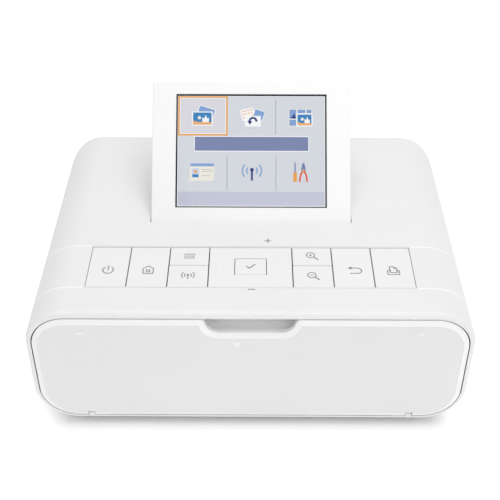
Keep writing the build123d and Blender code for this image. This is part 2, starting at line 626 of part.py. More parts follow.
# ---------------------------------------------------------------- paper bay and chassis
def paper_bay():
    """Front frame and tunnel that the paper cassette slides into."""
    half_w = BODY_HALF_W - SIDE_WALL - GAP
    low, high = BODY_BOTTOM + BOTTOM_WALL + 0.2, BODY_TOP - TOP_WALL - GAP
    frame = prism_y(front_outline(half_w, low, high, 14.6, 15.6), BAY_FRONT, BAY_FRONT + BAY_WALL)
    frame -= block(-POCKET_HALF_W - 2, POCKET_HALF_W + 2, -70, -50, POCKET_LOW - 1.2, 70)
    outer = block(-BAY_HALF_W - BAY_WALL, BAY_HALF_W + BAY_WALL, BAY_FRONT, BAY_BACK,
                  BAY_FLOOR - BAY_WALL, BAY_ROOF + BAY_WALL)
    bay = frame + outer
    bay -= block(-BAY_HALF_W, BAY_HALF_W, BAY_FRONT - 5, BAY_BACK + 5, BAY_FLOOR, BAY_ROOF)
    return bay - block(-14, 14, -45.0, BAY_BACK + 1, BAY_ROOF - 1, BAY_ROOF + 5)


def chassis_pan():
    """Pressed steel floor of the mechanism."""
    pan = block(-PLATE_X, PLATE_X, -27.0, 60.0, PAN_BOTTOM, PAN_BOTTOM + 1.2)
    for x in (-32, 0, 32):
        pan -= block(x - 12, x + 12, 32.0, 50.0, 0, 20)
    for x, y in SCREW_AT:
        pan -= rod_z(SCREW_R + 0.02, 0, 20, x, y)
    return pan


PINCH = (CAPSTAN[0], CAPSTAN[1] + CAPSTAN_R + PAPER_GAP + PINCH_R)
TAKEUP_GAP = GEAR_MODULE * (PLATEN_TEETH + TAKEUP_TEETH) / 2
TAKEUP = (TAKEUP_Y, PLATEN[1] + math.sqrt(TAKEUP_GAP**2 - (TAKEUP_Y - PLATEN[0]) ** 2))
MESH = GEAR_MODULE / 2
PINION = meet(CAPSTAN, MESH * (CAPSTAN_TEETH + PINION_TEETH), PLATEN, MESH * (PLATEN_TEETH + PINION_TEETH), -1)
IDLER = meet(CAPSTAN, MESH * (CAPSTAN_TEETH + IDLER_TEETH), PICKUP, MESH * (IDLER_TEETH + PICKUP_TEETH), -1)
JOURNAL_R = 2.0
BUSH_R = 3.6
PINCH_JOURNAL_R = 1.5
IDLER_POST_R = 1.5


def side_plate_blank():
    """Outline shared by both side plates: a body with a forward arm for the pick-up shaft."""
    plate = block(PLATE_X, PLATE_X + PLATE_T, -27.0, 61.0, PAN_BOTTOM, 54.0)
    plate += block(PLATE_X, PLATE_X + PLATE_T, -43.0, -27.0, 43.0, 54.0)
    for centre in (CAPSTAN, PLATEN, PICKUP):
        plate -= rod_x(BUSH_R, 60, 70, centre)
    plate -= rod_x(PINCH_JOURNAL_R + RUN, 60, 70, PINCH)
    return plate - rod_x(1.5 + RUN, 60, 70, HEAD_PIVOT)


def right_side_plate():
    """Right side plate, open where the ribbon cassette goes through."""
    plate = side_plate_blank() - block(60, 70, -11.6, 54.4, 22.6, 46.4)
    return plate - rod_x(LEVER_PIN_R + RUN, 60, 70, LEVER_PIVOT)


def left_side_plate():
    """Left side plate, with the gear posts and the holes for the spindles and the motor boss."""
    plate = mirror(side_plate_blank(), Plane.YZ)
    plate -= rod_x(3.5, -70, -60, TAKEUP)
    plate -= rod_x(3.5, -70, -60, SUPPLY)
    plate -= rod_x(3.0, -70, -60, PINION)
    return plate + rod_x(IDLER_POST_R, GEAR_X[0] - 0.5, -PLATE_X, IDLER)


def shaft_bushes():
    """Flanged bushes for the capstan, platen and pick-up shafts, one in each side plate."""
    bushes = []
    for centre in (CAPSTAN, PLATEN, PICKUP):
        bush = rod_x(BUSH_R, PLATE_X - 0.4, PLATE_X + PLATE_T + 0.3, centre)
        bush += rod_x(BUSH_R + 1.0, PLATE_X - 1.2, PLATE_X, centre)
        bush -= rod_x(JOURNAL_R + RUN, 60, 70, centre)
        bushes += [bush, mirror(bush, Plane.YZ)]
    return compound(*bushes)


# ---------------------------------------------------------------- rollers and gears
def journalled(core, centre):
    """Shaft core with journals out to both side plates and on to the gear."""
    return core + rod_x(JOURNAL_R, GEAR_X[0], PLATE_X + 1.3, centre)


def capstan_roller():
    """Steel feed roller."""
    return journalled(rod_x(CAPSTAN_R, -53, 53, CAPSTAN), CAPSTAN)


def platen_shaft():
    """Steel shaft of the platen roller."""
    return journalled(rod_x(3.0, -56, 56, PLATEN), PLATEN)


def platen_rubber():
    """Rubber sleeve of the platen roller."""
    return rod_x(PLATEN_R, -54, 54, PLATEN) - rod_x(3.0, -60, 60, PLATEN)


def pickup_shaft():
    """Shaft of the pick-up roller."""
    return journalled(rod_x(2.5, -16, 16, PICKUP), PICKUP)


def pickup_roller():
    """Rubber pick-up tyre with shallow grooves."""
    tyre = rod_x(PICKUP_R, -11, 11, PICKUP) - rod_x(2.5, -20, 20, PICKUP)
    for count in range(18):
        angle = math.radians(20 * count)
        groove = (PICKUP[0] + PICKUP_R * math.cos(angle), PICKUP[1] + PICKUP_R * math.sin(angle))
        tyre -= rod_x(0.35, -12, 12, groove)
    return tyre


def pinch_shaft():
    """Shaft of the pinch roller."""
    return rod_x(PINCH_JOURNAL_R, -PLATE_X - 1.1, PLATE_X + 1.1, PINCH)


def pinch_roller():
    """Four rubber pinch tyres on one shaft."""
    tyres = []
    for x in (-40, -14, 14, 40):
        tyres.append(rod_x(PINCH_R, x - 8, x + 8, PINCH) - rod_x(PINCH_JOURNAL_R, x - 9, x + 9, PINCH))
    return compound(*tyres)


def gear(teeth, centre, phase, bore_r):
    """Moulded spur gear with a hub on its inner side."""
    wheel = prism_x(Pos(*centre) * gear_face(teeth, phase), *GEAR_X)
    if teeth > 40:
        web_r = GEAR_MODULE * teeth / 2 - 2.2
        recess = rod_x(web_r, GEAR_X[0] - 1, GEAR_X[0] + 1.2, centre) - rod_x(4.2, -80, -60, centre)
        wheel -= recess
    return wheel - rod_x(bore_r, -80, -60, centre)


GEARS = {
    "capstan_gear": (CAPSTAN, CAPSTAN_TEETH), "motor_pinion": (PINION, PINION_TEETH),
    "platen_gear": (PLATEN, PLATEN_TEETH), "takeup_gear": (TAKEUP, TAKEUP_TEETH),
    "pickup_idler": (IDLER, IDLER_TEETH), "pickup_gear": (PICKUP, PICKUP_TEETH),
}
PHASE = {"capstan_gear": 0.0}
for driven, driver in (("motor_pinion", "capstan_gear"), ("platen_gear", "motor_pinion"),
                       ("takeup_gear", "platen_gear"), ("pickup_idler", "capstan_gear"),
                       ("pickup_gear", "pickup_idler")):
    (from_centre, from_teeth), (to_centre, to_teeth) = GEARS[driver], GEARS[driven]
    PHASE[driven] = mesh_phase(from_centre, from_teeth, PHASE[driver], to_centre, to_teeth)


def takeup_gear():
    """Gear with the splined spindle that drives the take-up spool."""
    wheel = gear(TAKEUP_TEETH, TAKEUP, PHASE["takeup_gear"], 0.5)
    wheel += rod_x(3.2, GEAR_X[1] - 1, -62.0, TAKEUP)
    wheel += rod_x(1.9, -63.0, -56.4, TAKEUP)
    return wheel - rod_x(0.5, -80, -60, TAKEUP)


MOTOR_R = 7.4
MOTOR_SHAFT_END = -56.5


def feed_motor():
    """Flat stepping motor on the left side plate."""
    can = rod_x(MOTOR_R, -PLATE_X + 0.05, -55.0, PINION)
    boss = rod_x(2.9, -PLATE_X - 1.1, -PLATE_X + 0.5, PINION)
    return can + boss - rod_x(MOTOR_SHAFT_R + RUN, -PLATE_X - 2, MOTOR_SHAFT_END + 0.5, PINION)


def motor_pinion():
    """Pinion with the motor shaft pressed into it."""
    wheel = gear(PINION_TEETH, PINION, PHASE["motor_pinion"], MOTOR_SHAFT_R / 2)
    return wheel + rod_x(MOTOR_SHAFT_R, GEAR_X[0] - 0.4, MOTOR_SHAFT_END, PINION)


# ---------------------------------------------------------------- ribbon cassette
def ribbon_case():
    """Cassette shell: two spool housings joined by an end bar at each side."""
    x0, x1 = CASSETTE_X
    case = rod_x(SPOOL_CASE_R, x0, x1, SUPPLY) + rod_x(SPOOL_CASE_R, x0, x1, TAKEUP)
    bar_z = (24.0, 27.3)
    case += block(x0, x0 + 3.0, SUPPLY[0], TAKEUP[0], *bar_z) + block(x1 - 3.0, x1, SUPPLY[0], TAKEUP[0], *bar_z)
    for centre in (SUPPLY, TAKEUP):
        case -= rod_x(SPOOL_CASE_R - 1.2, x0 + 1.5, x1 - 1.5, centre)
        case -= rod_x(3.2, x0 - 1, x1 + 1, centre)
    return case


SPOOL_X = (-58.2, 62.2)


def spool():
    """Core with end flanges and journals, on the X axis."""
    core = rod_x(4.0, SPOOL_X[0], SPOOL_X[1], (0, 0))
    core += rod_x(8.9, SPOOL_X[0], SPOOL_X[0] + 1.0, (0, 0)) + rod_x(8.9, SPOOL_X[1] - 1.0, SPOOL_X[1], (0, 0))
    core += rod_x(3.1, CASSETTE_X[0] + 0.1, CASSETTE_X[1] - 0.1, (0, 0))
    return core - rod_x(2.0, -70, 70, (0, 0))


def supply_spool():
    """Spool that the fresh ribbon unwinds from."""
    return Pos(0, *SUPPLY) * spool()


def takeup_spool():
    """Spool that the used ribbon winds on to."""
    return Pos(0, *TAKEUP) * spool()


def supply_film_roll():
    """Ribbon wound on the supply spool."""
    return rod_x(8.4, SPOOL_X[0] + 1.2, SPOOL_X[1] - 1.2, SUPPLY) - rod_x(4.0, -80, 80, SUPPLY)


def ribbon_web():
    """Stretch of ribbon between the two spool housings, over the platen."""
    low = SUPPLY[1] - SPOOL_CASE_R - 0.1
    return block(-52.0, 52.0, 5.0, 37.0, low - 0.12, low)


# ---------------------------------------------------------------- print head
HEAD_X = 51.0


def head_arm():
    """Pressed steel arm that carries the print head and turns on two pins."""
    y, z = HEAD_PIVOT
    arm = block(-HEAD_X, HEAD_X, y, 27.0, 47.2, 48.4)
    for x in (-30, 0, 30):
        arm -= block(x - 9, x + 9, -8.0, 8.0, 40, 50)
    ear = block(62.0, 63.4, y - 2.4, y + 2.4, 47.2, z + 2.2)
    tab = block(HEAD_X - 1, 63.4, y - 2.4, y + 2.4, 47.2, 48.4)
    pin = rod_x(1.5, 63.0, PLATE_X + 1.1, HEAD_PIVOT)
    return arm + both_sides(ear + tab + pin)


def head_heatsink():
    """Finned aluminium bar that backs the heating strip."""
    bar = block(-HEAD_X, HEAD_X, 14.5, 26.5, 31.0, 47.2)
    for count in range(3):
        y = 16.8 + 3.2 * count
        bar -= block(-HEAD_X - 1, HEAD_X + 1, y, y + 1.7, 35.0, 43.0)
    return bar


def thermal_strip():
    """Ceramic heating strip under the heat sink."""
    strip = block(-HEAD_X, HEAD_X, 17.5, 24.5, 27.9, 31.0)
    return chamfer(strip.edges().filter_by(Axis.X).group_by(Axis.Z)[0], 1.2)


def cassette_lock_lever():
    """Sprung lever above the cassette opening, pivoted on the right side plate."""
    x0, x1 = PLATE_X + PLATE_T + 0.2, PLATE_X + PLATE_T + 1.8
    y, z = LEVER_PIVOT
    lever = block(x0, x1, y - 12.0, y + 2.2, z - 1.8, z + 1.8)
    lever += block(x0, x1 + 4.0, y - 12.0, y - 8.0, z - 3.4, z + 1.8)
    return lever + rod_x(LEVER_PIN_R, PLATE_X + 0.1, x1, LEVER_PIVOT)


# ---------------------------------------------------------------- electronics
BOARD_X = (-77.4, -75.8)


def main_board():
    """Main circuit board standing on the left, with its larger packages."""
    board = block(*BOARD_X, -42.0, 52.0, 12.0, 50.0)
    chips = [block(-75.8, -74.4, 2, 18, 30, 46), block(-75.8, -74.8, -20, -8, 16, 26),
             block(-79.4, -77.4, -34, -22, 20, 34), block(-75.8, -73.8, 34, 46, 16, 24),
             block(-75.8, -73.1, -35, -25, 41, 46)]
    return compound(board, *chips)


def side_ports():
    """Two cable sockets on the left side: a wide host socket and a smaller one."""
    x0 = -BODY_HALF_W + SIDE_WALL + 0.3
    wide = block(x0, BOARD_X[0], PORT_A_Y - 7.0, PORT_A_Y + 7.0, PORT_Z - 3.4, PORT_Z + 3.4)
    wide -= block(-95, BOARD_X[0] - 1.2, PORT_A_Y - 6.3, PORT_A_Y + 6.3, PORT_Z - 2.6, PORT_Z + 2.6)
    wide += block(x0 + 1.2, BOARD_X[0] - 1.0, PORT_A_Y - 5.6, PORT_A_Y + 5.6, PORT_Z + 0.1, PORT_Z + 1.9)
    small = block(x0, BOARD_X[0], PORT_B_Y - 4.4, PORT_B_Y + 4.4, PORT_Z - 2.5, PORT_Z + 2.5)
    small -= block(-95, BOARD_X[0] - 1.2, PORT_B_Y - 3.8, PORT_B_Y + 3.8, PORT_Z - 1.9, PORT_Z + 1.9)
    small += block(x0 + 1.2, BOARD_X[0] - 1.0, PORT_B_Y - 2.9, PORT_B_Y + 2.9, PORT_Z + 0.1, PORT_Z + 0.9)
    return compound(wide, small)


def card_socket():
    """Memory card socket behind the slot on the right side."""
    x1 = BODY_HALF_W - SIDE_WALL - 0.3
    can = block(63.0, x1, CARD_Y[0], CARD_Y[1], *CARD_Z)
    return can - block(65.0, 95, CARD_Y[0] + 1.2, CARD_Y[1] - 1.2, CARD_Z[0] + 0.4, CARD_Z[1] - 0.4)


# ---------------------------------------------------------------- export
PARTS = {
    "outer_shell": outer_shell, "control_fascia": control_fascia, "base_plate": base_plate,
    "rear_panel": rear_panel, "rubber_feet": rubber_feet, "case_screws": case_screws,
    "front_cover": front_cover, "front_cover_pins": front_cover_pins,
    "ribbon_door": ribbon_door, "ribbon_door_pin": ribbon_door_pins,
    "display_bezel": display_bezel, "display_back": display_back, "display_window": display_window,
    "lcd_module": lcd_module, "display_hinge_pins": display_hinge_pins,
    "direction_pad": direction_pad, "pad_web": pad_web, "ok_key": ok_key,
    "keypad_board": keypad_board, "keypad_cable": keypad_cable,
    "paper_bay": paper_bay, "chassis_pan": chassis_pan,
    "left_side_plate": left_side_plate, "right_side_plate": right_side_plate,
    "shaft_bushes": shaft_bushes, "capstan_roller": capstan_roller,
    "pinch_shaft": pinch_shaft, "pinch_roller": pinch_roller,
    "platen_shaft": platen_shaft, "platen_rubber": platen_rubber,
    "pickup_shaft": pickup_shaft, "pickup_roller": pickup_roller,
    "takeup_gear": takeup_gear, "feed_motor": feed_motor, "motor_pinion": motor_pinion,
    "ribbon_case": ribbon_case, "supply_spool": supply_spool, "supply_film_roll": supply_film_roll,
    "takeup_spool": takeup_spool, "ribbon_web": ribbon_web,
    "head_arm": head_arm, "head_heatsink": head_heatsink, "thermal_strip": thermal_strip,
    "cassette_lock_lever": cassette_lock_lever,
    "main_board": main_board, "side_ports": side_ports, "card_socket": card_socket,
    "dc_inlet": dc_inlet,
}
for name, make in PARTS.items():
    save(make(), name)
for name, span in KEYS.items():
    save(key(*span), name)
for name in ("capstan_gear", "platen_gear", "pickup_gear"):
    centre, teeth = GEARS[name]
    save(gear(teeth, centre, PHASE[name], JOURNAL_R), name)
save(gear(IDLER_TEETH, IDLER, PHASE["pickup_idler"], IDLER_POST_R + RUN), "pickup_idler")
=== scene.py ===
# %% [markdown]
# # A compact photo printer, dressed in Blender
#
# The printer's parts arrive from CAD as a fixed frame: every shell, key, roller and screw is
# already at its real size and in its real place. This lesson gives them their finish, adds the
# thin printed and lit details that only show on the surface, and sets up a soft white studio.

# %% Load the frame
import json
import math

import bpy
import numpy as np
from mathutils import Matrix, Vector


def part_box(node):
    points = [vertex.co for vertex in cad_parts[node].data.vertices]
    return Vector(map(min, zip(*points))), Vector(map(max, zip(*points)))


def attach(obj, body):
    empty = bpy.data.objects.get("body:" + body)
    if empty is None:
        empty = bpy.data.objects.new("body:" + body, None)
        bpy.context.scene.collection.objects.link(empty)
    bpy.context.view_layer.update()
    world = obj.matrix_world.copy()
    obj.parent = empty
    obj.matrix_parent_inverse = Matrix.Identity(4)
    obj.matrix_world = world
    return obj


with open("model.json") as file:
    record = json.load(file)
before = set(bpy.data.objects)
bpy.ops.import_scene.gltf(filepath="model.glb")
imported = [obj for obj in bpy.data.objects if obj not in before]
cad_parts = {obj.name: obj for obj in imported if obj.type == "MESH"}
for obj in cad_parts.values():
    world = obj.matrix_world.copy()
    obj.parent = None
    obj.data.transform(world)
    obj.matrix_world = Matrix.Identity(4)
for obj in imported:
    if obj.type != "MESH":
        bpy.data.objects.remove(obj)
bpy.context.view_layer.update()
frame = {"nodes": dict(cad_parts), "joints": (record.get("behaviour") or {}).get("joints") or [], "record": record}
MM = 0.001
PIP = 0.15          # in millimetres: two buffer pips stand this far out of the front cover's face

# %% [markdown]
# ## The studio
#
# White goods are lit so that the shape shows in small steps of white. One strong lamp would do
# it too, but with hard shadows. Here a bright surround gives every surface a base level, and three
# soft boxes add the direction: a large one overhead, one high in front on the right, and a weak
# low one that opens up the front. Floor and surround are both near white, so the object stands in
# plain white space with only a soft contact shadow. A colour transform without a film curve keeps
# whites white.

# %% Camera
CAMERA_RIGHT = 0.0015
CAMERA_YAW = 0.33
CAMERA_DISTANCE_Y = 0.3415
CAMERA_HEIGHT = 0.3125
CAMERA_PITCH = 38.36
CAMERA_LENS = 68.4

camera_data = bpy.data.cameras.new("camera")
camera = bpy.data.objects.new("camera", camera_data)
bpy.context.scene.collection.objects.link(camera)
camera_data.lens = CAMERA_LENS
camera_data.sensor_width = 36.0
camera_data.clip_start = 0.01
camera.location = (CAMERA_RIGHT, -CAMERA_DISTANCE_Y, CAMERA_HEIGHT)
camera.rotation_euler = (math.radians(90.0 - CAMERA_PITCH), 0.0, math.radians(CAMERA_YAW))
bpy.context.scene.camera = camera
print("camera looks down by", CAMERA_PITCH, "degrees through a", CAMERA_LENS, "mm lens")

# %% Lights and surround
WORLD_LEVEL = 0.60       # what the surround gives to the object
WORLD_SEEN = 1.05        # what it shows as a background


def softbox(name, place, aim, size, watts, tint=(1.0, 1.0, 1.0)):
    """A square area light at place that faces aim."""
    data = bpy.data.lights.new(name, "AREA")
    data.shape = "SQUARE"
    data.size = size
    data.energy = watts
    data.color = tint
    light = bpy.data.objects.new(name, data)
    bpy.context.scene.collection.objects.link(light)
    light.location = place
    light.rotation_euler = (Vector(aim) - Vector(place)).to_track_quat("-Z", "Y").to_euler()
    return light


world = bpy.data.worlds.new("white_surround")
bpy.context.scene.world = world
world.use_nodes = True
surround = world.node_tree.nodes["Background"]
seen_directly = world.node_tree.nodes.new("ShaderNodeLightPath")
level = world.node_tree.nodes.new("ShaderNodeMapRange")
level.inputs["To Min"].default_value = WORLD_LEVEL
level.inputs["To Max"].default_value = WORLD_SEEN
world.node_tree.links.new(seen_directly.outputs["Is Camera Ray"], level.inputs["Value"])
world.node_tree.links.new(level.outputs["Result"], surround.inputs["Strength"])
surround.inputs["Color"].default_value = (1.0, 1.0, 1.0, 1.0)
softbox("front_softbox", (0.25, -0.75, 0.95), (0.0, 0.0, 0.05), 0.7, 2.4)
softbox("top_softbox", (0.1, 0.05, 1.2), (0.0, 0.0, 0.0), 0.9, 5.6)
softbox("near_softbox", (0.55, -1.0, 0.35), (0.0, 0.0, 0.03), 0.7, 0.5)
bpy.context.scene.view_settings.view_transform = "Standard"

# %% [markdown]
# ## Surfaces from arrays
#
# A piece could be pulled into shape by hand, but a formula is exact and easy to change. Every new
# piece here is a grid of points that numpy works out at once: rows run along one parameter and
# columns along the other. One small function joins neighbours into quads, and the closing flags
# say which way the grid joins up with itself.

# %% Grid and mesh helpers
def grid_faces(rows, columns, wrap_rows=False, wrap_columns=False):
    """Quads between neighbours of a rows x columns grid; a wrapped direction joins its ends."""
    r = np.arange(rows if wrap_rows else rows - 1)
    c = np.arange(columns if wrap_columns else columns - 1)
    r, c = np.meshgrid(r, c, indexing="ij")
    r2, c2 = (r + 1) % rows, (c + 1) % columns
    quads = np.stack([r * columns + c, r * columns + c2, r2 * columns + c2, r2 * columns + c], -1)
    return quads.reshape(-1, 4).tolist()


def new_mesh(name, points, faces, material, tints=None):
    """Mesh object from points in metres; tints, if given, is one colour for each face."""
    mesh = bpy.data.meshes.new(name)
    mesh.from_pydata(np.asarray(points, float).tolist(), [], faces)
    if tints is not None:
        layer = mesh.attributes.new("tint", "FLOAT_COLOR", "FACE")
        layer.data.foreach_set("color", np.asarray(tints, np.float32).ravel())
    mesh.materials.append(material)
    mesh.update()
    thing = bpy.data.objects.new(name, mesh)
    bpy.context.scene.collection.objects.link(thing)
    return thing


print("an open 9 x 9 grid has", len(grid_faces(9, 9)), "quads")

# %% [markdown]
# ## The floor
#
# The floor is a plain sheet. A white floor under soft light is still darker than the surround, so
# it is given a little painted light of its own, which begins just outside the printer's footprint:
# under and right round the footprint it stays unlit, a painted shade that deepens the contact
# shadow, the glow dips a little in a ring further out, and everything further out fades to white.
# The footprint is a rectangle, so the fade follows the distance from a rectangle and not from a point.

# %% Floor
FLOOR_GRID = 9
FLOOR_SIZE = 6.0
FOOTPRINT = (0.078, 0.066)
# start and end of a fade in metres outside the footprint, and the glow it adds
FLOOR_FADES = ((0.0, 0.009, 0.26), (0.03, 0.12, -0.12), (0.2, 1.5, 0.35))


def floor_glow(tree, shader):
    """Emission by distance from the footprint: the length of max(|place| - half size, 0)."""
    where = tree.nodes.new("ShaderNodeTexCoord")
    folded, outside, clipped, distance = (tree.nodes.new("ShaderNodeVectorMath") for _ in range(4))
    folded.operation, outside.operation = "ABSOLUTE", "SUBTRACT"
    clipped.operation, distance.operation = "MAXIMUM", "LENGTH"
    outside.inputs[1].default_value = (*FOOTPRINT, 0.0)
    tree.links.new(where.outputs["Object"], folded.inputs[0])
    for first, second in ((folded, outside), (outside, clipped), (clipped, distance)):
        tree.links.new(first.outputs["Vector"], second.inputs[0])
    total = None
    for start, end, glow in FLOOR_FADES:
        fade = tree.nodes.new("ShaderNodeMapRange")
        fade.inputs["From Min"].default_value = start
        fade.inputs["From Max"].default_value = end
        fade.inputs["To Max"].default_value = glow
        tree.links.new(distance.outputs["Value"], fade.inputs["Value"])
        if total is None:
            total = fade.outputs["Result"]
        else:
            both = tree.nodes.new("ShaderNodeMath")
            tree.links.new(total, both.inputs[0])
            tree.links.new(fade.outputs["Result"], both.inputs[1])
            total = both.outputs["Value"]
    tree.links.new(total, shader.inputs["Emission Color"])


floor_material = bpy.data.materials.new("studio_floor")
floor_material.use_nodes = True
floor_shader = floor_material.node_tree.nodes["Principled BSDF"]
floor_shader.inputs["Base Color"].default_value = (0.93, 0.93, 0.93, 1.0)
floor_shader.inputs["Roughness"].default_value = 0.9
floor_shader.inputs["Specular IOR Level"].default_value = 0.1
floor_shader.inputs["Emission Strength"].default_value = 1.0
# painted light on the floor, and painted shade round the footprint where it has no glow
floor_glow(floor_material.node_tree, floor_shader)
floor_line = np.linspace(-0.5, 0.5, FLOOR_GRID) * FLOOR_SIZE
floor_y, floor_x = np.meshgrid(floor_line, floor_line, indexing="ij")
floor_points = np.stack([floor_x, floor_y, 0.0 * floor_x], -1).reshape(-1, 3)
floor = new_mesh("floor", floor_points, grid_faces(FLOOR_GRID, FLOOR_GRID), floor_material)
print("floor is", FLOOR_SIZE, "m square")

# %% [markdown]
# ## Finishes
#
# A moulded shell is never one flat colour. Its pigment varies very slightly, the tool leaves an
# even spark-eroded grain, and the sheen changes with that grain. Metal parts show fine parallel
# lines from rolling or grinding instead. Each finish could be drawn from scratch, but the effects
# are shared, so each is built once as a node group that puts out a colour, a roughness and
# a height. Every finish then places the group with its own values, and keeps its own shader.

# %% Node helpers
def new_group(name, inputs, outputs):
    """Shader node group with the given sockets; returns the group, its input and output nodes."""
    group = bpy.data.node_groups.new(name, "ShaderNodeTree")
    for label, kind, value in inputs:
        socket = group.interface.new_socket(label, in_out="INPUT", socket_type=kind)
        socket.default_value = value
    for label, kind in outputs:
        group.interface.new_socket(label, in_out="OUTPUT", socket_type=kind)
    return group, group.nodes.new("NodeGroupInput"), group.nodes.new("NodeGroupOutput")


def add(tree, kind, **values):
    """New node in a tree; values set its properties or, where the name is a socket's, its input."""
    node = tree.nodes.new(kind)
    for label, value in values.items():
        if label in node.inputs:
            node.inputs[label].default_value = value
        else:
            setattr(node, label, value)
    return node


def blend_colours(tree, factor, first, second):
    """Mix node between two colour sockets by a factor socket."""
    mix = add(tree, "ShaderNodeMix", data_type="RGBA")
    tree.links.new(factor, mix.inputs["Factor"])
    tree.links.new(first, mix.inputs[6])
    tree.links.new(second, mix.inputs[7])
    return mix.outputs[2]


def group_of(material):
    """The group node that a finish was built from."""
    return next(node for node in material.node_tree.nodes if node.type == "GROUP")


COLOUR, VALUE = "NodeSocketColor", "NodeSocketFloat"
FINISH_OUTPUTS = [("Colour", COLOUR), ("Roughness", VALUE), ("Height", VALUE)]
print("every finish group puts out", [label for label, kind in FINISH_OUTPUTS])

# %% Moulded grain group
def moulded_grain_group():
    """Spark-eroded plastic: broad pale mottling, fine even grain and a roughness that follows it."""
    group, inside, out = new_group("moulded_grain", [
        ("Colour", COLOUR, (0.8, 0.8, 0.8, 1)), ("Shade", COLOUR, (0.75, 0.75, 0.75, 1)),
        ("Mottle Scale", VALUE, 22.0), ("Grain Scale", VALUE, 2600.0),
        ("Smoothest", VALUE, 0.40), ("Roughest", VALUE, 0.52)], FINISH_OUTPUTS)
    where = add(group, "ShaderNodeTexCoord")
    mottle = add(group, "ShaderNodeTexNoise", Detail=3.0, Roughness=0.55)
    grain = add(group, "ShaderNodeTexNoise", Detail=2.0, Roughness=0.6)
    for noise, label in ((mottle, "Mottle Scale"), (grain, "Grain Scale")):
        group.links.new(where.outputs["Object"], noise.inputs["Vector"])
        group.links.new(inside.outputs[label], noise.inputs["Scale"])
    spread = add(group, "ShaderNodeMapRange")
    spread.inputs["From Min"].default_value = 0.3
    spread.inputs["From Max"].default_value = 0.7
    group.links.new(mottle.outputs["Fac"], spread.inputs["Value"])
    colour = blend_colours(group, spread.outputs["Result"],
                           inside.outputs["Colour"], inside.outputs["Shade"])
    sheen = add(group, "ShaderNodeMapRange")
    group.links.new(grain.outputs["Fac"], sheen.inputs["Value"])
    group.links.new(inside.outputs["Smoothest"], sheen.inputs["To Min"])
    group.links.new(inside.outputs["Roughest"], sheen.inputs["To Max"])
    group.links.new(colour, out.inputs["Colour"])
    group.links.new(sheen.outputs["Result"], out.inputs["Roughness"])
    group.links.new(grain.outputs["Fac"], out.inputs["Height"])
    return group


MOULDED_GRAIN = moulded_grain_group()
print("group", MOULDED_GRAIN.name)

# %% Drawn metal group
def drawn_metal_group():
    """Ground or rolled metal: noise stretched along X makes fine parallel lines of light and dark."""
    group, inside, out = new_group("drawn_metal", [
        ("Colour", COLOUR, (0.6, 0.6, 0.6, 1)), ("Shade", COLOUR, (0.5, 0.5, 0.5, 1)),
        ("Line Scale", VALUE, 900.0), ("Stretch", VALUE, 0.02),
        ("Smoothest", VALUE, 0.22), ("Roughest", VALUE, 0.42)], FINISH_OUTPUTS)
    where = add(group, "ShaderNodeTexCoord")
    squeeze = add(group, "ShaderNodeCombineXYZ", Y=1.0, Z=1.0)
    stretched = add(group, "ShaderNodeVectorMath", operation="MULTIPLY")
    lines = add(group, "ShaderNodeTexNoise", Detail=4.0, Roughness=0.65)
    group.links.new(inside.outputs["Stretch"], squeeze.inputs["X"])
    group.links.new(where.outputs["Object"], stretched.inputs[0])
    group.links.new(squeeze.outputs[0], stretched.inputs[1])
    group.links.new(stretched.outputs[0], lines.inputs["Vector"])
    group.links.new(inside.outputs["Line Scale"], lines.inputs["Scale"])
    colour = blend_colours(group, lines.outputs["Fac"],
                           inside.outputs["Colour"], inside.outputs["Shade"])
    sheen = add(group, "ShaderNodeMapRange")
    group.links.new(lines.outputs["Fac"], sheen.inputs["Value"])
    group.links.new(inside.outputs["Smoothest"], sheen.inputs["To Min"])
    group.links.new(inside.outputs["Roughest"], sheen.inputs["To Max"])
    group.links.new(colour, out.inputs["Colour"])
    group.links.new(sheen.outputs["Result"], out.inputs["Roughness"])
    group.links.new(lines.outputs["Fac"], out.inputs["Height"])
    return group


DRAWN_METAL = drawn_metal_group()
print("group", DRAWN_METAL.name)

# %% Finish builder
GRAIN_DEPTH = 0.02 * MM


def shade_of(colour, share):
    """The same colour, darker or lighter by a share."""
    return tuple(min(1.0, c * (1.0 + share)) for c in colour)


def finish_from(name, group, colour, shade, bump, group_values, shader_values):
    """Material with one Principled shader, whose colour, roughness and bump come from a group."""
    material = bpy.data.materials.new(name)
    material.use_nodes = True
    tree = material.node_tree
    shader = tree.nodes["Principled BSDF"]
    source = add(tree, "ShaderNodeGroup", node_tree=group)
    source.inputs["Colour"].default_value = (*colour, 1)
    source.inputs["Shade"].default_value = (*shade, 1)
    for label, value in group_values.items():
        source.inputs[label].default_value = value
    for label, value in shader_values.items():
        shader.inputs[label].default_value = value
    relief = add(tree, "ShaderNodeBump", Strength=bump, Distance=GRAIN_DEPTH)
    tree.links.new(source.outputs["Colour"], shader.inputs["Base Color"])
    tree.links.new(source.outputs["Roughness"], shader.inputs["Roughness"])
    tree.links.new(source.outputs["Height"], relief.inputs["Height"])
    tree.links.new(relief.outputs["Normal"], shader.inputs["Normal"])
    return material


def moulded(name, colour, contrast=-0.02, bump=0.35, gloss=(0.42, 0.55), mottle=22.0,
            grain=2600.0, **shader):
    """Injection-moulded plastic or rubber; gloss is its smoothest and its roughest."""
    values = {"Mottle Scale": mottle, "Grain Scale": grain}
    values.update({"Smoothest": gloss[0], "Roughest": gloss[1]})
    return finish_from(name, MOULDED_GRAIN, colour, shade_of(colour, contrast), bump, values, shader)


def drawn(name, colour, contrast=-0.18, bump=0.15, gloss=(0.22, 0.4), scale=900.0,
          stretch=0.02, **shader):
    """Ground, rolled or plated metal; a stretch of 1 leaves no direction in the lines."""
    values = {"Line Scale": scale, "Stretch": stretch}
    values.update({"Smoothest": gloss[0], "Roughest": gloss[1]})
    shader = {"Metallic": 1.0, **shader}
    return finish_from(name, DRAWN_METAL, colour, shade_of(colour, contrast), bump, values, shader)


print("a moulded white 2 % darker is", [round(c, 3) for c in shade_of((0.8, 0.8, 0.8), -0.02)])

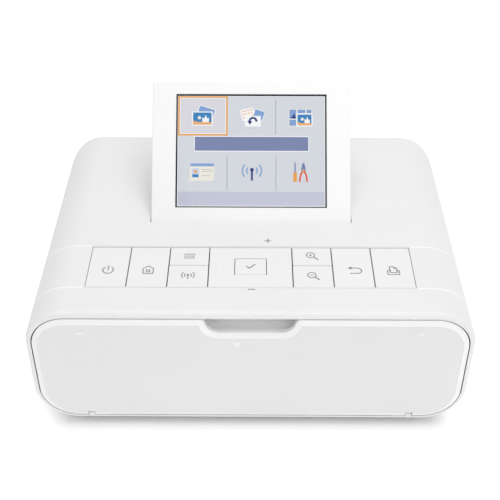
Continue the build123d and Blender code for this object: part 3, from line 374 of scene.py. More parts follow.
# %% Plain finishes
WHITE = (0.815, 0.815, 0.812)
FINISH = {
    "case_white": moulded("case_white", WHITE),
    "key_white": moulded("key_white", (0.83, 0.83, 0.825), bump=0.2, gloss=(0.38, 0.46)),
    "display_white": moulded("display_white", (0.87, 0.87, 0.868), bump=0.12, gloss=(0.26, 0.32)),
    "dark_plastic": moulded("dark_plastic", (0.035, 0.036, 0.039), contrast=0.25, gloss=(0.45, 0.6)),
    "grey_plastic": moulded("grey_plastic", (0.10, 0.105, 0.115), contrast=0.15),
    "gear_plastic": moulded("gear_plastic", (0.72, 0.70, 0.62), contrast=-0.06, gloss=(0.3, 0.4)),
    "ribbon_plastic": moulded("ribbon_plastic", (0.50, 0.51, 0.53), contrast=-0.05),
    "feed_rubber": moulded("feed_rubber", (0.025, 0.025, 0.026), contrast=0.4, bump=0.8,
                           gloss=(0.7, 0.9)),
    "foot_rubber": moulded("foot_rubber", (0.12, 0.122, 0.125), contrast=0.2, bump=0.7,
                           gloss=(0.7, 0.85)),
    "web_rubber": moulded("web_rubber", (0.30, 0.305, 0.31), contrast=-0.1, gloss=(0.55, 0.7)),
    "head_ceramic": moulded("head_ceramic", (0.80, 0.78, 0.70), bump=0.05, gloss=(0.12, 0.2)),
    "steel": drawn("steel", (0.60, 0.60, 0.61)),
    "plated_steel": drawn("plated_steel", (0.52, 0.53, 0.54), gloss=(0.3, 0.5), stretch=0.3,
                          scale=300.0),
    "screw_steel": drawn("screw_steel", (0.45, 0.45, 0.46), stretch=1.0, scale=1500.0),
    "heatsink_aluminium": drawn("heatsink_aluminium", (0.75, 0.76, 0.77)),
    "bush_brass": drawn("bush_brass", (0.70, 0.52, 0.22), stretch=1.0, scale=3000.0),
    "ink_grey": moulded("ink_grey", (0.235, 0.245, 0.255), contrast=0.12, bump=0.1,
                        gloss=(0.5, 0.6)),
}
print("plain finishes", len(FINISH))

# %% [markdown]
# ## Finishes with a pattern of their own
#
# The circuit boards show copper tracks under green varnish, the ribbon carries panels of
# yellow, magenta, cyan and clear dye one after the other, the front cover is grained on its flat,
# its face a little darker than the case as painted shade and its bevel and pips paler as a painted
# highlight, and the window is clear acrylic. Painted images could show all that, but
# a texture worked out from the object's own coordinates stays sharp however near one looks.

# %% Circuit board
TRACKS_PER_METRE = 160.0


def circuit_board(name):
    """Green varnish over copper tracks, which are the mortar lines of a brick texture."""
    material = moulded(name, (0.012, 0.11, 0.05), contrast=0.5, gloss=(0.2, 0.3), bump=0.1)
    tree = material.node_tree
    shader, source = tree.nodes["Principled BSDF"], group_of(material)
    where = add(tree, "ShaderNodeTexCoord")
    turn = add(tree, "ShaderNodeMapping")
    turn.inputs["Rotation"].default_value = (0.0, math.radians(90.0), 0.0)
    tracks = add(tree, "ShaderNodeTexBrick", Scale=TRACKS_PER_METRE)
    tracks.inputs["Mortar Size"].default_value = 0.06
    tree.links.new(where.outputs["Object"], turn.inputs["Vector"])
    tree.links.new(turn.outputs["Vector"], tracks.inputs["Vector"])
    copper = add(tree, "ShaderNodeRGB")
    copper.outputs[0].default_value = (0.10, 0.30, 0.12, 1)
    mixed = blend_colours(tree, tracks.outputs["Fac"], source.outputs["Colour"], copper.outputs[0])
    tree.links.new(mixed, shader.inputs["Base Color"])
    return material


print("track pitch in mm", round(1.0 / TRACKS_PER_METRE / MM, 2))

# %% Ribbon film
PANEL_LENGTH = 0.0105
PANEL_COLOURS = ((0.85, 0.68, 0.05), (0.62, 0.06, 0.25), (0.03, 0.28, 0.55), (0.55, 0.52, 0.50))


def ribbon_film(name):
    """Dye panels in turn along Y: a stepped ramp over the fraction of Y / (4 panel lengths)."""
    material = moulded(name, PANEL_COLOURS[0], bump=0.03, gloss=(0.1, 0.16))
    tree = material.node_tree
    where = add(tree, "ShaderNodeTexCoord")
    split = add(tree, "ShaderNodeSeparateXYZ")
    share = add(tree, "ShaderNodeMath", operation="MULTIPLY")
    share.inputs[1].default_value = 1.0 / (len(PANEL_COLOURS) * PANEL_LENGTH)
    part = add(tree, "ShaderNodeMath", operation="FRACT")
    ramp = add(tree, "ShaderNodeValToRGB")
    ramp.color_ramp.interpolation = "CONSTANT"
    ramp.color_ramp.elements[0].color = (*PANEL_COLOURS[0], 1)
    ramp.color_ramp.elements[1].position = 0.25
    ramp.color_ramp.elements[1].color = (*PANEL_COLOURS[1], 1)
    for step in (2, 3):
        stop = ramp.color_ramp.elements.new(step / len(PANEL_COLOURS))
        stop.color = (*PANEL_COLOURS[step], 1)
    tree.links.new(where.outputs["Object"], split.inputs[0])
    tree.links.new(split.outputs["Y"], share.inputs[0])
    tree.links.new(share.outputs[0], part.inputs[0])
    tree.links.new(part.outputs[0], ramp.inputs["Fac"])
    tree.links.new(ramp.outputs["Color"], tree.nodes["Principled BSDF"].inputs["Base Color"])
    return material


print("dye panels", len(PANEL_COLOURS), "each", PANEL_LENGTH / MM, "mm long")

# %% Cover with a grained face and a painted highlight on its rim
EDGE_START, EDGE_END = 0.02, 0.07      # in millimetres from the face plane


def grained_cover_painted_light(name, face, rim):
    """Grained on the flat of its front, and paler on the bevel and on the two pips: a painted highlight.

    The share of painted highlight is 0 on the face plane and 1 behind it or in front of it: the
    distance |Y - face plane|, spread from the edge's start to its end and clamped.
    """
    material = moulded(name, face, grain=2200.0, bump=0.5)
    tree = material.node_tree
    shader, source = tree.nodes["Principled BSDF"], group_of(material)
    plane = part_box("front_cover")[0].y + PIP * MM
    where = add(tree, "ShaderNodeTexCoord")
    split = add(tree, "ShaderNodeSeparateXYZ")
    offset = add(tree, "ShaderNodeMath", operation="SUBTRACT")
    offset.inputs[1].default_value = plane
    distance = add(tree, "ShaderNodeMath", operation="ABSOLUTE")
    share = add(tree, "ShaderNodeMapRange")
    share.inputs["From Min"].default_value = EDGE_START * MM
    share.inputs["From Max"].default_value = EDGE_END * MM
    paler_by_painted_light = add(tree, "ShaderNodeRGB")
    paler_by_painted_light.outputs[0].default_value = (*rim, 1)
    tree.links.new(where.outputs["Object"], split.inputs[0])
    tree.links.new(split.outputs["Y"], offset.inputs[0])
    tree.links.new(offset.outputs[0], distance.inputs[0])
    tree.links.new(distance.outputs[0], share.inputs["Value"])
    mixed = blend_colours(tree, share.outputs["Result"], source.outputs["Colour"], paler_by_painted_light.outputs[0])
    tree.links.new(mixed, shader.inputs["Base Color"])
    return material


print("the cover turns smooth within", EDGE_END, "mm of its face plane")

# %% Window, panel and cable
def clear_window(name):
    """Clear acrylic with a trace of haze that comes and goes over the sheet."""
    material = moulded(name, (0.97, 0.98, 1.0), contrast=-0.01, bump=0.0, gloss=(0.0, 0.03),
                       mottle=60.0)
    shader = material.node_tree.nodes["Principled BSDF"]
    shader.inputs["Transmission Weight"].default_value = 1.0
    shader.inputs["IOR"].default_value = 1.20
    return material


FINISH["board_green"] = circuit_board("board_green")
FINISH["ribbon_film"] = ribbon_film("ribbon_film")
# the face colour is a little darker than the case white, a painted shade; the paler second colour is a painted
# highlight on the bevel and pips
FINISH["cover_white"] = grained_cover_painted_light("cover_white", (0.765, 0.77, 0.765), (0.88, 0.88, 0.875))
FINISH["window_clear"] = clear_window("window_clear")
FINISH["lcd_panel"] = moulded("lcd_panel", (0.02, 0.022, 0.03), contrast=0.3, gloss=(0.15, 0.25))
FINISH["cable_amber"] = moulded("cable_amber", (0.45, 0.17, 0.03), contrast=-0.3, gloss=(0.2, 0.3),
                                mottle=900.0)
print("all finishes", len(FINISH))

# %% Give every CAD node its finish
slot_of = {row["node"]: row["material_slot"] for row in frame["record"]["subparts"]}
for node, thing in frame["nodes"].items():
    thing.data.materials.clear()
    thing.data.materials.append(FINISH[slot_of[node]])
print("finished nodes", len(slot_of))

# %% [markdown]
# ## Printed marks
#
# The keys carry small pad-printed symbols in grey ink. A picture laid over each key would
# blur close up, so the ink is what it is on the real thing, a layer a few hundredths of
# a millimetre thick: strokes are a flat rectangular profile carried along a path, and filled shapes
# are an outline with a top, an underside and a rim. Symbols are drawn in millimetres in a flat
# frame of their own, and a placing function carries them to the key, the cover or the display.

# %% Stroke and plate
def swept(rings, closed=False):
    """Skin over a row of rings, with flat ends unless the last ring joins the first."""
    rows, columns = rings.shape[:2]
    faces = grid_faces(rows, columns, wrap_rows=closed, wrap_columns=True)
    if not closed:
        last = columns * (rows - 1)
        faces += [list(range(columns))[::-1], list(range(last, last + columns))]
    return rings.reshape(-1, 3), faces


def mitres(path, closed=False):
    """Normal to the left at every point of a path, made longer by 1 / cos(half the turn)."""
    legs = np.roll(path, -1, 0) - path if closed else np.diff(path, axis=0)
    legs /= np.linalg.norm(legs, axis=1, keepdims=True)
    before = np.roll(legs, 1, 0) if closed else np.vstack([legs[:1], legs])
    after = legs if closed else np.vstack([legs, legs[-1:]])
    bisector = before + after
    bisector /= (1.0 + (before * after).sum(1))[:, None]
    return np.column_stack([-bisector[:, 1], bisector[:, 0]])


def stroke(path, width, low, high, closed=False):
    """Rectangle carried along a flat path: the path +- half the width along its mitres."""
    path = np.asarray(path, float)
    across = mitres(path, closed) * width / 2
    ring = [(path - across, high), (path - across, low), (path + across, low), (path + across, high)]
    columns = [np.column_stack([side, np.full(len(path), level)]) for side, level in ring]
    return swept(np.stack(columns, 1), closed)


def plate(outline, low, high):
    """Flat prism: the outline, counter-clockwise, at two heights with a rim between them."""
    outline = np.asarray(outline, float)
    count = len(outline)
    rings = np.stack([np.column_stack([outline, np.full(count, level)]) for level in (high, low)])
    corner = np.arange(count)
    after = (corner + 1) % count
    rim = np.stack([corner, count + corner, count + after, after], -1).tolist()
    return rings.reshape(-1, 3), rim + [corner.tolist(), (count + corner)[::-1].tolist()]


def arc(centre, radius, start, end, steps=20):
    """Points on a circle from one angle to another, in degrees."""
    turn = np.radians(np.linspace(start, end, steps))
    return np.column_stack([centre[0] + radius * np.cos(turn), centre[1] + radius * np.sin(turn)])


def box_outline(x0, x1, y0, y1):
    """Corners of a rectangle, counter-clockwise."""
    return [(x0, y0), (x1, y0), (x1, y1), (x0, y1)]


def turned(points, angle, centre=(0.0, 0.0)):
    """Flat points turned about a centre by an angle in degrees."""
    a = math.radians(angle)
    matrix = np.array([[math.cos(a), math.sin(a)], [-math.sin(a), math.cos(a)]])
    return (np.asarray(points, float) - centre) @ matrix + centre


print("a unit plate has", len(plate(box_outline(0, 1, 0, 1), 0, 1)[1]), "faces")

# %% Placing and building
def on_top(x, y, z):
    """Carries flat points to a level surface: across is +X, up the mark is +Y."""
    def place(points):
        return (points + np.array([x, y, z])) * MM
    return place


def build(name, shapes, place, material, body, tints=None):
    """One piece from several closed shapes, placed and riding on a body."""
    all_points = [points for points, faces in shapes]
    starts = np.cumsum([0] + [len(points) for points in all_points])
    all_faces, colours = [], []
    for (points, faces), start in zip(shapes, starts):
        all_faces += [(np.array(face) + start).tolist() for face in faces]
    if tints is not None:
        colours = [(*tint, 1.0) for (points, faces), tint in zip(shapes, tints) for face in faces]
    piece = new_mesh(name, place(np.concatenate(all_points)), all_faces, material, colours or None)
    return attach(piece, body)


# %% Symbols
INK = 0.5          # width of a printed line
INK_LOW, INK_HIGH = -0.02, 0.03


def ink(path, width=INK, closed=False):
    """Printed line."""
    return stroke(path, width, INK_LOW, INK_HIGH, closed)


def power_symbol():
    """Open ring with an upright bar."""
    return [ink(arc((0, 0), 2.15, 125, 415, 32)), ink([(0, -0.1), (0, 2.9)])]


def home_symbol():
    """House outline with a four-pane window."""
    pane = [(x, y) for x in (-0.95, 0.15) for y in (-1.75, -0.65)]
    panes = [plate(box_outline(x, x + 0.8, y, y + 0.8), INK_LOW, INK_HIGH) for x, y in pane]
    return [ink([(-2.0, -2.5), (2.0, -2.5), (2.15, 0.7), (0, 2.4), (-2.15, 0.7)], 0.45, True)] + panes


def menu_symbol():
    """Three level bars."""
    return [ink([(-2.3, y), (2.3, y)], 0.5) for y in (-1.3, 0.0, 1.3)]


def waves_symbol():
    """Mast with two arcs on each side."""
    mast_top = plate(arc((0, 0.3), 0.55, 0, 345, 16), INK_LOW, INK_HIGH)
    parts = [ink([(0, -2.3), (0, 0.1)], 0.45), mast_top]
    for radius in (1.45, 2.6):
        parts += [ink(arc((0, 0.1), radius, a - 42, a + 42, 12), 0.45) for a in (0, 180)]
    return parts


def lens_symbol(plus):
    """Magnifying glass with a minus or a plus in it."""
    parts = [ink(arc((-0.5, 0.5), 1.7, 0, 350, 32), 0.45, True), ink([(0.8, -0.8), (2.6, -2.5)], 0.6)]
    parts.append(ink([(-1.3, 0.5), (0.3, 0.5)], 0.35))
    return parts + ([ink([(-0.5, -0.3), (-0.5, 1.3)], 0.35)] if plus else [])


def return_symbol():
    """Arrow that turns back on itself."""
    bend = np.concatenate([[(-0.7, 1.7)], arc((1.8, 0), 1.7, 90, -90, 16), [(-1.3, -1.7)]])
    return [ink(bend, 0.5), plate([(-2.2, 1.7), (-0.5, 0.7), (-0.5, 2.7)], INK_LOW, INK_HIGH)]


def printer_symbol():
    """Sheet with a folded corner standing in a tray."""
    tray = [(-1.3, 0.2), (-2.4, 0.2), (-2.4, -2.3), (2.4, -2.3), (2.4, 0.2), (1.5, 0.2)]
    sheet = [(-1.3, -1.1), (1.5, -1.1), (1.5, 1.5), (0.3, 2.7), (-1.3, 2.7)]
    return [ink(tray, 0.45), ink(sheet, 0.45, True), ink([(0.3, 2.6), (0.3, 1.5), (1.4, 1.5)], 0.35)]


def tick_symbol():
    """Tick."""
    return [ink([(-1.8, 0.0), (-0.5, -1.3), (1.9, 1.3)], 0.55)]


def plus_symbol():
    """Plus sign: one outline, its bar a little thinner than its upright."""
    bar, upright, reach = 0.25, 0.28, 1.4
    quarter = np.array([(upright, bar), (upright, reach)])
    upper = np.concatenate([[(reach, bar)], quarter, (quarter * [-1, 1])[::-1], [(-reach, bar)]])
    return [plate(np.concatenate([upper, -upper]), INK_LOW, INK_HIGH)]


print("printed lines are", INK, "mm wide and", INK_HIGH, "mm high")

# %% Print the symbols on the keys
KEY_SYMBOLS = {
    "power_key": (power_symbol(), -2.4), "home_key": (home_symbol(), -2.1),
    "menu_key": (menu_symbol(), 0.0), "wireless_key": (waves_symbol(), 0.3),
    "zoom_in_key": (lens_symbol(True), 0.4), "zoom_out_key": (lens_symbol(False), 0.2),
    "back_key": (return_symbol(), -2.3), "print_key": (printer_symbol(), -2.3),
    "ok_key": (tick_symbol(), 0.2),
}
for key, (shapes, forward) in KEY_SYMBOLS.items():
    low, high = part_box(key)
    centre = (low + high) / 2 / MM
    place = on_top(centre.x, centre.y + forward, high.z / MM)
    build(f"{key}_symbol", shapes, place, FINISH["ink_grey"], f"{key}_body")
band_low, band_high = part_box("control_fascia")
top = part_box("outer_shell")[1].z / MM
build("copies_plus", plus_symbol(), on_top(7.26, band_high.y / MM + 4.1, top), FINISH["ink_grey"],
      "case")
build("copies_minus", [ink([(-1.4, 0), (1.4, 0)])], on_top(0.4, band_low.y / MM - 1.1, top),
      FINISH["ink_grey"], "case")
print("symbols", len(KEY_SYMBOLS) + 2)

# %% [markdown]
# ## Raised marks
#
# Four small arrowheads on the pad and one on the front cover have no ink: they are moulded a tenth
# of a millimetre proud, and mostly their edges catch the light. A bump could suggest them from
# straight ahead, but real triangles also hold up from the side.

# %% Arrowheads on the pad and the cover
RAISED = 0.10


def arrowhead(size, angle, centre):
    """Triangle that points along an angle, raised above its surface."""
    corners = turned([(size, 0), (-size * 0.6, size * 0.95), (-size * 0.6, -size * 0.95)], angle)
    return plate(corners + np.asarray(centre, float), -0.02, RAISED)


pad_low, pad_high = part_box("direction_pad")
ok_low, ok_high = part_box("ok_key")
pad_centre = (ok_low + ok_high) / 2 / MM
heads = [arrowhead(1.3, 0, (13.0, 0)), arrowhead(1.3, 180, (-13.0, 0)),
         arrowhead(1.3, 90, (0, 9.6)), arrowhead(1.3, -90, (0, -9.2))]
build("pad_arrowheads", heads, on_top(pad_centre.x, pad_centre.y, pad_high.z / MM),
      FINISH["display_white"], "direction_pad_body")


def on_cover(x, z, face):
    """Carries flat points to the front cover: across is +X, up the mark is +Z, out is -Y."""
    def place(points):
        return np.column_stack([points[:, 0] + x, face - points[:, 2], points[:, 1] + z]) * MM
    return place


cover_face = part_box("front_cover")[0].y / MM + PIP
build("cover_arrowhead", [arrowhead(1.6, -90, (0, 0))], on_cover(-5.2, 47.8, cover_face),
      FINISH["display_white"], "front_cover_body")
print("raised marks", 2)

# %% [markdown]
# ## Seams
#
# The control band is let into the case. To the left and right of the keys a hair-fine bead closes
# both of its seams; it is coloured whiter than the case, a painted highlight that shows as a thin
# bright line down the shoulders.
# A strip with the dark rubber finish runs along the wall round the front cover, a painted shade that
# makes the gap read as a dark line. Painting those lines on the shell would flatten them, so both
# are a small section carried along an arch.

# %% Arch and strip
SHOULDER_STEPS = 24


def arch(half_w, top, radius, reach):
    """Flat path over a round-shouldered box, left to right; each shoulder arc covers reach degrees."""
    turn = np.radians(np.linspace(reach, 0.0, SHOULDER_STEPS))
    centre = np.array([half_w - radius, top - radius])
    right = centre + radius * np.column_stack([np.sin(turn), np.cos(turn)])
    return np.concatenate([right * [-1.0, 1.0], right[::-1]])


def strip(path, section):
    """Section of (back, out) points carried along a path over the case; out follows the normal."""
    normal = mitres(path)
    rings = [np.column_stack([path[:, 0] + normal[:, 0] * out, np.full(len(path), back),
                              path[:, 1] + normal[:, 1] * out]) for back, out in section]
    return swept(np.stack(rings, 1))


def in_place(points):
    """Carries points that are already at their place in the frame, from millimetres to metres."""
    return points * MM


print("an arch has", len(arch(90.0, 60.0, 17.0, 90.0)), "points")

# %% Painted highlight: beads along the control band
SHOULDER_R = 17.0
BEAD_REACH = 76.0        # how far a bead goes down the shoulder, in degrees
KEYS_HALF = 67.4
SEAM_HALF = 0.08
BEAD_HALF = 0.24
BEAD_HIGH = 0.06
BEAD_SINK = -0.05
# bead finish whiter than the case: a painted highlight along both seams
FINISH["bead_painted_highlight"] = moulded("bead_painted_highlight", (1.0, 1.0, 0.995), contrast=0.0, bump=0.05,
                               gloss=(0.2, 0.26))
case_low, case_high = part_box("outer_shell")
shoulders = arch(case_high.x / MM, case_high.z / MM, SHOULDER_R, BEAD_REACH)
level_end = np.array([[KEYS_HALF, case_high.z / MM]])
shoulder_paths = [np.concatenate([shoulders[:SHOULDER_STEPS], level_end * [-1, 1]]),
                  np.concatenate([level_end, shoulders[SHOULDER_STEPS:]])]
highlight_beads = []
for y in (band_low.y / MM - SEAM_HALF, band_high.y / MM + SEAM_HALF):
    highlight_bead_section = [(y + BEAD_HALF, BEAD_SINK), (y + BEAD_HALF / 2, BEAD_HIGH),
            (y - BEAD_HALF / 2, BEAD_HIGH), (y - BEAD_HALF, BEAD_SINK)]
    highlight_beads += [strip(path, highlight_bead_section) for path in shoulder_paths]
build("band_highlight_beads", highlight_beads, in_place, FINISH["bead_painted_highlight"], "case")
print("highlight_beads", len(highlight_beads))

# %% Painted shade: a dark strip round the front cover
SHADE_STRIP_T = 0.22
SHADE_STRIP_SINK = 0.03
SHADE_STRIP_FOOT = 16.0              # height of its lower ends, clear of the cover's hinge
SHADE_STRIP_FRONT, SHADE_STRIP_BACK = 0.5, 2.1      # behind the rim of the case
SIDE_WALL, ROOF = 2.1, 2.8
NOTCH_HALF = 24.0
rim = case_low.y / MM
wall_x, roof_z = case_high.x / MM - SIDE_WALL, case_high.z / MM - ROOF
corners = arch(wall_x, roof_z, SHOULDER_R - SIDE_WALL, 90.0)
foot, end = np.array([[wall_x, SHADE_STRIP_FOOT]]), np.array([[NOTCH_HALF, roof_z]])
gap_shade_paths = [np.concatenate([foot * [-1, 1], corners[:SHOULDER_STEPS], end * [-1, 1]]),
                np.concatenate([end, corners[SHOULDER_STEPS:], foot])]
gap_shade_section = [(rim + SHADE_STRIP_BACK, -SHADE_STRIP_T), (rim + SHADE_STRIP_BACK, SHADE_STRIP_SINK),
          (rim + SHADE_STRIP_FRONT, SHADE_STRIP_SINK), (rim + SHADE_STRIP_FRONT, -SHADE_STRIP_T)]
# dark strip with the feed rubber finish in the gap round the cover: painted shade
build("cover_gap_painted_shade", [strip(path, gap_shade_section) for path in gap_shade_paths], in_place,
      FINISH["feed_rubber"], "case")
print("gap_shade_section", len(gap_shade_paths), "strips,", SHADE_STRIP_T, "mm thick")

# %% [markdown]
# ## Inside
#
# The parts that show when the covers are open, or when the printer is taken apart, get the details
# that tell what they are: the brown glaze line of the heating dots along the print head, and on the
# main board black packages with a pin-one dot, tinned capacitors and pale connectors. A board
# texture alone would stay flat, so each of these is a low prism over the CAD board.

# %% Heating line of the print head
GLAZE_HALF_W, GLAZE_MARGIN = 0.45, 2.0
strip_low, strip_high = (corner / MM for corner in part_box("thermal_strip"))
FINISH["glaze_brown"] = moulded("glaze_brown", (0.16, 0.07, 0.03), contrast=0.3, bump=0.05,
                                gloss=(0.08, 0.14))


def under(points):
    """Carries flat points to the underside of the print head: across is +X, out is down."""
    middle = [(strip_low.x + strip_high.x) / 2, (strip_low.y + strip_high.y) / 2, strip_low.z]
    return (points * [1, -1, -1] + middle) * MM


glaze_half = (strip_high.x - strip_low.x) / 2 - GLAZE_MARGIN
glaze = box_outline(-glaze_half, glaze_half, -GLAZE_HALF_W, GLAZE_HALF_W)
build("heating_line", [plate(glaze, -0.03, 0.05)], under, FINISH["glaze_brown"], "print_head")
print("heating line in mm", round(2 * glaze_half, 1))

# %% Packages on the main board
BOARD_FACE = -75.8
CAP = 0.05               # how far a black cap stands round its package
FINISH["package_black"] = moulded("package_black", (0.018, 0.018, 0.02), contrast=0.4,
                                  gloss=(0.35, 0.5))
FINISH["tinned_can"] = drawn("tinned_can", (0.72, 0.73, 0.74), stretch=1.0, scale=1800.0)
FINISH["connector_ivory"] = moulded("connector_ivory", (0.78, 0.74, 0.62), gloss=(0.3, 0.4))


def on_board(points):
    """Carries flat points to the board's component side: across is +Y, up is +Z, out is +X."""
    return np.column_stack([points[:, 2] + BOARD_FACE, points[:, 0], points[:, 1]]) * MM


ON_BOARD = 0.02          # where the small parts start, just off the board
# place along the board and up it, and how far each package stands out, in millimetres
PACKAGES = (((2, 18, 30, 46), 1.4), ((-20, -8, 16, 26), 1.0), ((34, 46, 16, 24), 2.0))
caps, dots = [], []
for (y0, y1, z0, z1), out in PACKAGES:
    caps.append(plate(box_outline(y0 - CAP, y1 + CAP, z0 - CAP, z1 + CAP), ON_BOARD, out + CAP))
    dots.append(plate(arc((y0 + 1.4, z1 - 1.4), 0.5, 0, 345, 16), out, out + 0.08))
build("board_packages", caps, on_board, FINISH["package_black"], "case")
build("package_dots", dots, on_board, FINISH["ink_grey"], "case")
CAN_PLACES = ((24.0, 42.0), (24.0, 35.0), (31.0, 42.0))
cans = [plate(arc(centre, 2.6, 0, 350, 36), ON_BOARD, 4.5) for centre in CAN_PLACES]
build("board_capacitors", cans, on_board, FINISH["tinned_can"], "case")
shells = [plate(box_outline(y, y + 9.0, 44.0, 48.0), ON_BOARD, 3.2) for y in (-20.0, 38.0)]
build("board_connectors", shells, on_board, FINISH["connector_ivory"], "case")
print("packages", len(caps), "capacitors", len(cans), "connectors", len(shells))

# %% [markdown]
# ## The lit picture
#
# The display shows a menu of six pictures on a pale ground. A drawn image would be the usual way,
# but it would come from a file and blur close up, so the menu is built from flat shapes like the
# key symbols. A real panel gives off its own light, so this finish is emission: each shape
# carries its colour as an attribute, and very fine lines over it stand for the panel's own
# structure. The shapes lie in thin layers between the panel and the window, in the display's own
# tilted frame, which comes from the hinge's place and from the angle that it is stored open at.

# %% Screen light
PANEL_LINES, PANEL_DIMMEST = 1600.0, 0.94


def srgb(r, g, b):
    """Linear colour from an 8-bit one: ((c + 0.055) / 1.055) ^ 2.4."""
    share = np.array([r, g, b]) / 255.0
    return tuple(np.where(share <= 0.04045, share / 12.92, ((share + 0.055) / 1.055) ** 2.4))


def screen_light():
    """Emission from the tint attribute, darkened a little along fine upright lines."""
    material = bpy.data.materials.new("screen_light")
    material.use_nodes = True
    tree = material.node_tree
    shader = tree.nodes["Principled BSDF"]
    tint = add(tree, "ShaderNodeAttribute", attribute_name="tint")
    where = add(tree, "ShaderNodeTexCoord")
    lines = add(tree, "ShaderNodeTexWave", Scale=PANEL_LINES, bands_direction="X")
    level = add(tree, "ShaderNodeMapRange")
    level.inputs["To Min"].default_value = PANEL_DIMMEST
    level.inputs["To Max"].default_value = 1.0
    dimmed = add(tree, "ShaderNodeVectorMath", operation="SCALE")
    tree.links.new(where.outputs["Object"], lines.inputs["Vector"])
    tree.links.new(lines.outputs["Fac"], level.inputs["Value"])
    tree.links.new(tint.outputs["Color"], dimmed.inputs[0])
    tree.links.new(level.outputs["Result"], dimmed.inputs["Scale"])
    tree.links.new(dimmed.outputs[0], shader.inputs["Emission Color"])
    shader.inputs["Base Color"].default_value = (0.01, 0.01, 0.012, 1)
    shader.inputs["Roughness"].default_value = 0.4
    shader.inputs["Specular IOR Level"].default_value = 0.0
    shader.inputs["Emission Strength"].default_value = 0.98
    return material


FINISH["screen_light"] = screen_light()
print("mid grey 128 gives off", round(float(srgb(128, 128, 128)[0]), 3))

# %% The display's own frame
hinge = next(j for j in frame["joints"] if j["name"] == "display_hinge")
tilt = math.radians(-hinge["range_deg"][0])
pivot = np.array(hinge["pos_m"])
along = np.array([0.0, math.cos(tilt), math.sin(tilt)])
outward = np.array([0.0, -math.sin(tilt), math.cos(tilt)])


def local_box(node):
    """Extent of a node in the display's frame, in millimetres: across, along, outward."""
    mesh = frame["nodes"][node].data
    points = np.empty(3 * len(mesh.vertices), np.float32)
    mesh.vertices.foreach_get("co", points)
    points = points.reshape(-1, 3) - pivot
    local = np.column_stack([points[:, 0], points @ along, points @ outward]) / MM
    return local.min(0), local.max(0)


def on_display(points):
    """Carries (across, along, outward) in millimetres to the tilted display."""
    return pivot + points * MM @ np.array([[1.0, 0.0, 0.0], along, outward])


window_low, window_high = local_box("display_window")
panel_high = local_box("lcd_module")[1]
MASK = 0.6
SCREEN_W = window_high[0] - window_low[0] - 2 * MASK
SCREEN_H = window_high[1] - window_low[1] - 2 * MASK
SCREEN_MID = (window_low[1] + window_high[1]) / 2
print("lit picture in mm", round(SCREEN_W, 1), round(SCREEN_H, 1), "tilt", round(math.degrees(tilt), 1))

# %% Layers and colours of the picture
LAYER = 0.03
LAYER_CLEAR = 0.004
PALE = srgb(216, 219, 224)
CELL = srgb(221, 219, 224)
BAR = srgb(119, 132, 171)
STRIP = srgb(199, 201, 216)
RULE = srgb(162, 165, 176)
MASK_NAVY = srgb(8, 14, 34)
AMBER = srgb(240, 158, 20)
PAPER = srgb(250, 250, 248)
SKY = srgb(42, 128, 190)
SOFT_BLUE = srgb(128, 162, 212)
NAVY = srgb(22, 44, 122)
SAND = srgb(236, 172, 112)
CREAM = srgb(240, 236, 222)
ORANGE = srgb(238, 160, 60)
RED = srgb(226, 78, 30)
GREY_BLUE = srgb(112, 130, 172)

picture = {}


def lay(group, layer, shape_of, tint, *args):
    """Adds a stroke or a plate to a named part of the picture, on one of its thin layers."""
    low = panel_high[2] + LAYER * layer
    shapes, tints = picture.setdefault(group, ([], []))
    shapes.append(shape_of(*args, low + LAYER_CLEAR, low + LAYER - LAYER_CLEAR))
    tints.append(tint)


def frame_line(path, width, low, high):
    """Stroke that runs once round and joins its own start."""
    return stroke(path, width, low, high, closed=True)


def card(group, layer, centre, size, angle, tint):
    """Rectangle of a given size, turned about its centre."""
    half_w, half_h = size[0] / 2, size[1] / 2
    corners = turned(box_outline(-half_w, half_w, -half_h, half_h), angle) + np.asarray(centre)
    lay(group, layer, plate, tint, corners)


def spot(x, y):
    """Place on the picture from shares of its width and height, counted from the top left."""
    return ((x - 0.5) * SCREEN_W, SCREEN_MID + (0.5 - y) * SCREEN_H)


def area(x0, x1, y0, y1):
    """Outline of a rectangle given in shares of the picture."""
    (left, high), (right, low) = spot(x0, y0), spot(x1, y1)
    return box_outline(left, right, low, high)


print("layers of", LAYER, "mm start at", round(float(panel_high[2]), 2), "mm above the hinge axis")

# %% Ground, bars and rules
lay("base", 0, plate, PALE, area(0, 1, 0, 1))
margin_x, margin_y = MASK / 2 / SCREEN_W, MASK / 2 / SCREEN_H
lay("base", 0, frame_line, MASK_NAVY, area(-margin_x, 1 + margin_x, -margin_y, 1 + margin_y), MASK)
lay("base", 1, plate, CELL, area(0.012, 0.330, 0.013, 0.352))
lay("base", 1, plate, STRIP, area(0.004, 0.996, 0.868, 0.990))
lay("base", 1, plate, PAPER, area(0.111, 0.892, 0.364, 0.506))
lay("base", 2, plate, BAR, area(0.117, 0.886, 0.372, 0.498))
lay("base", 2, frame_line, AMBER, area(0.008, 0.334, 0.010, 0.354), 0.65)
lay("base", 1, frame_line, PAPER, area(0.003, 0.997, 0.003, 0.997), 0.22)
lay("base", 2, frame_line, PAPER, area(0.017, 0.325, 0.021, 0.343), 0.28)
for x, y0, y1 in ((0.665, 0.034, 0.346), (0.337, 0.543, 0.855), (0.667, 0.543, 0.855)):
    lay("base", 1, plate, RULE, area(x - 0.0025, x + 0.0025, y0, y1))
COLUMNS, ROWS = (0.167, 0.505, 0.833), (0.195, 0.690)
print("shapes of the ground", len(picture["base"][0]))

# %% Snapshots in the icons
def icon_place(column, row):
    """Centre of an icon on the picture."""
    return np.array(spot(COLUMNS[column], ROWS[row]))


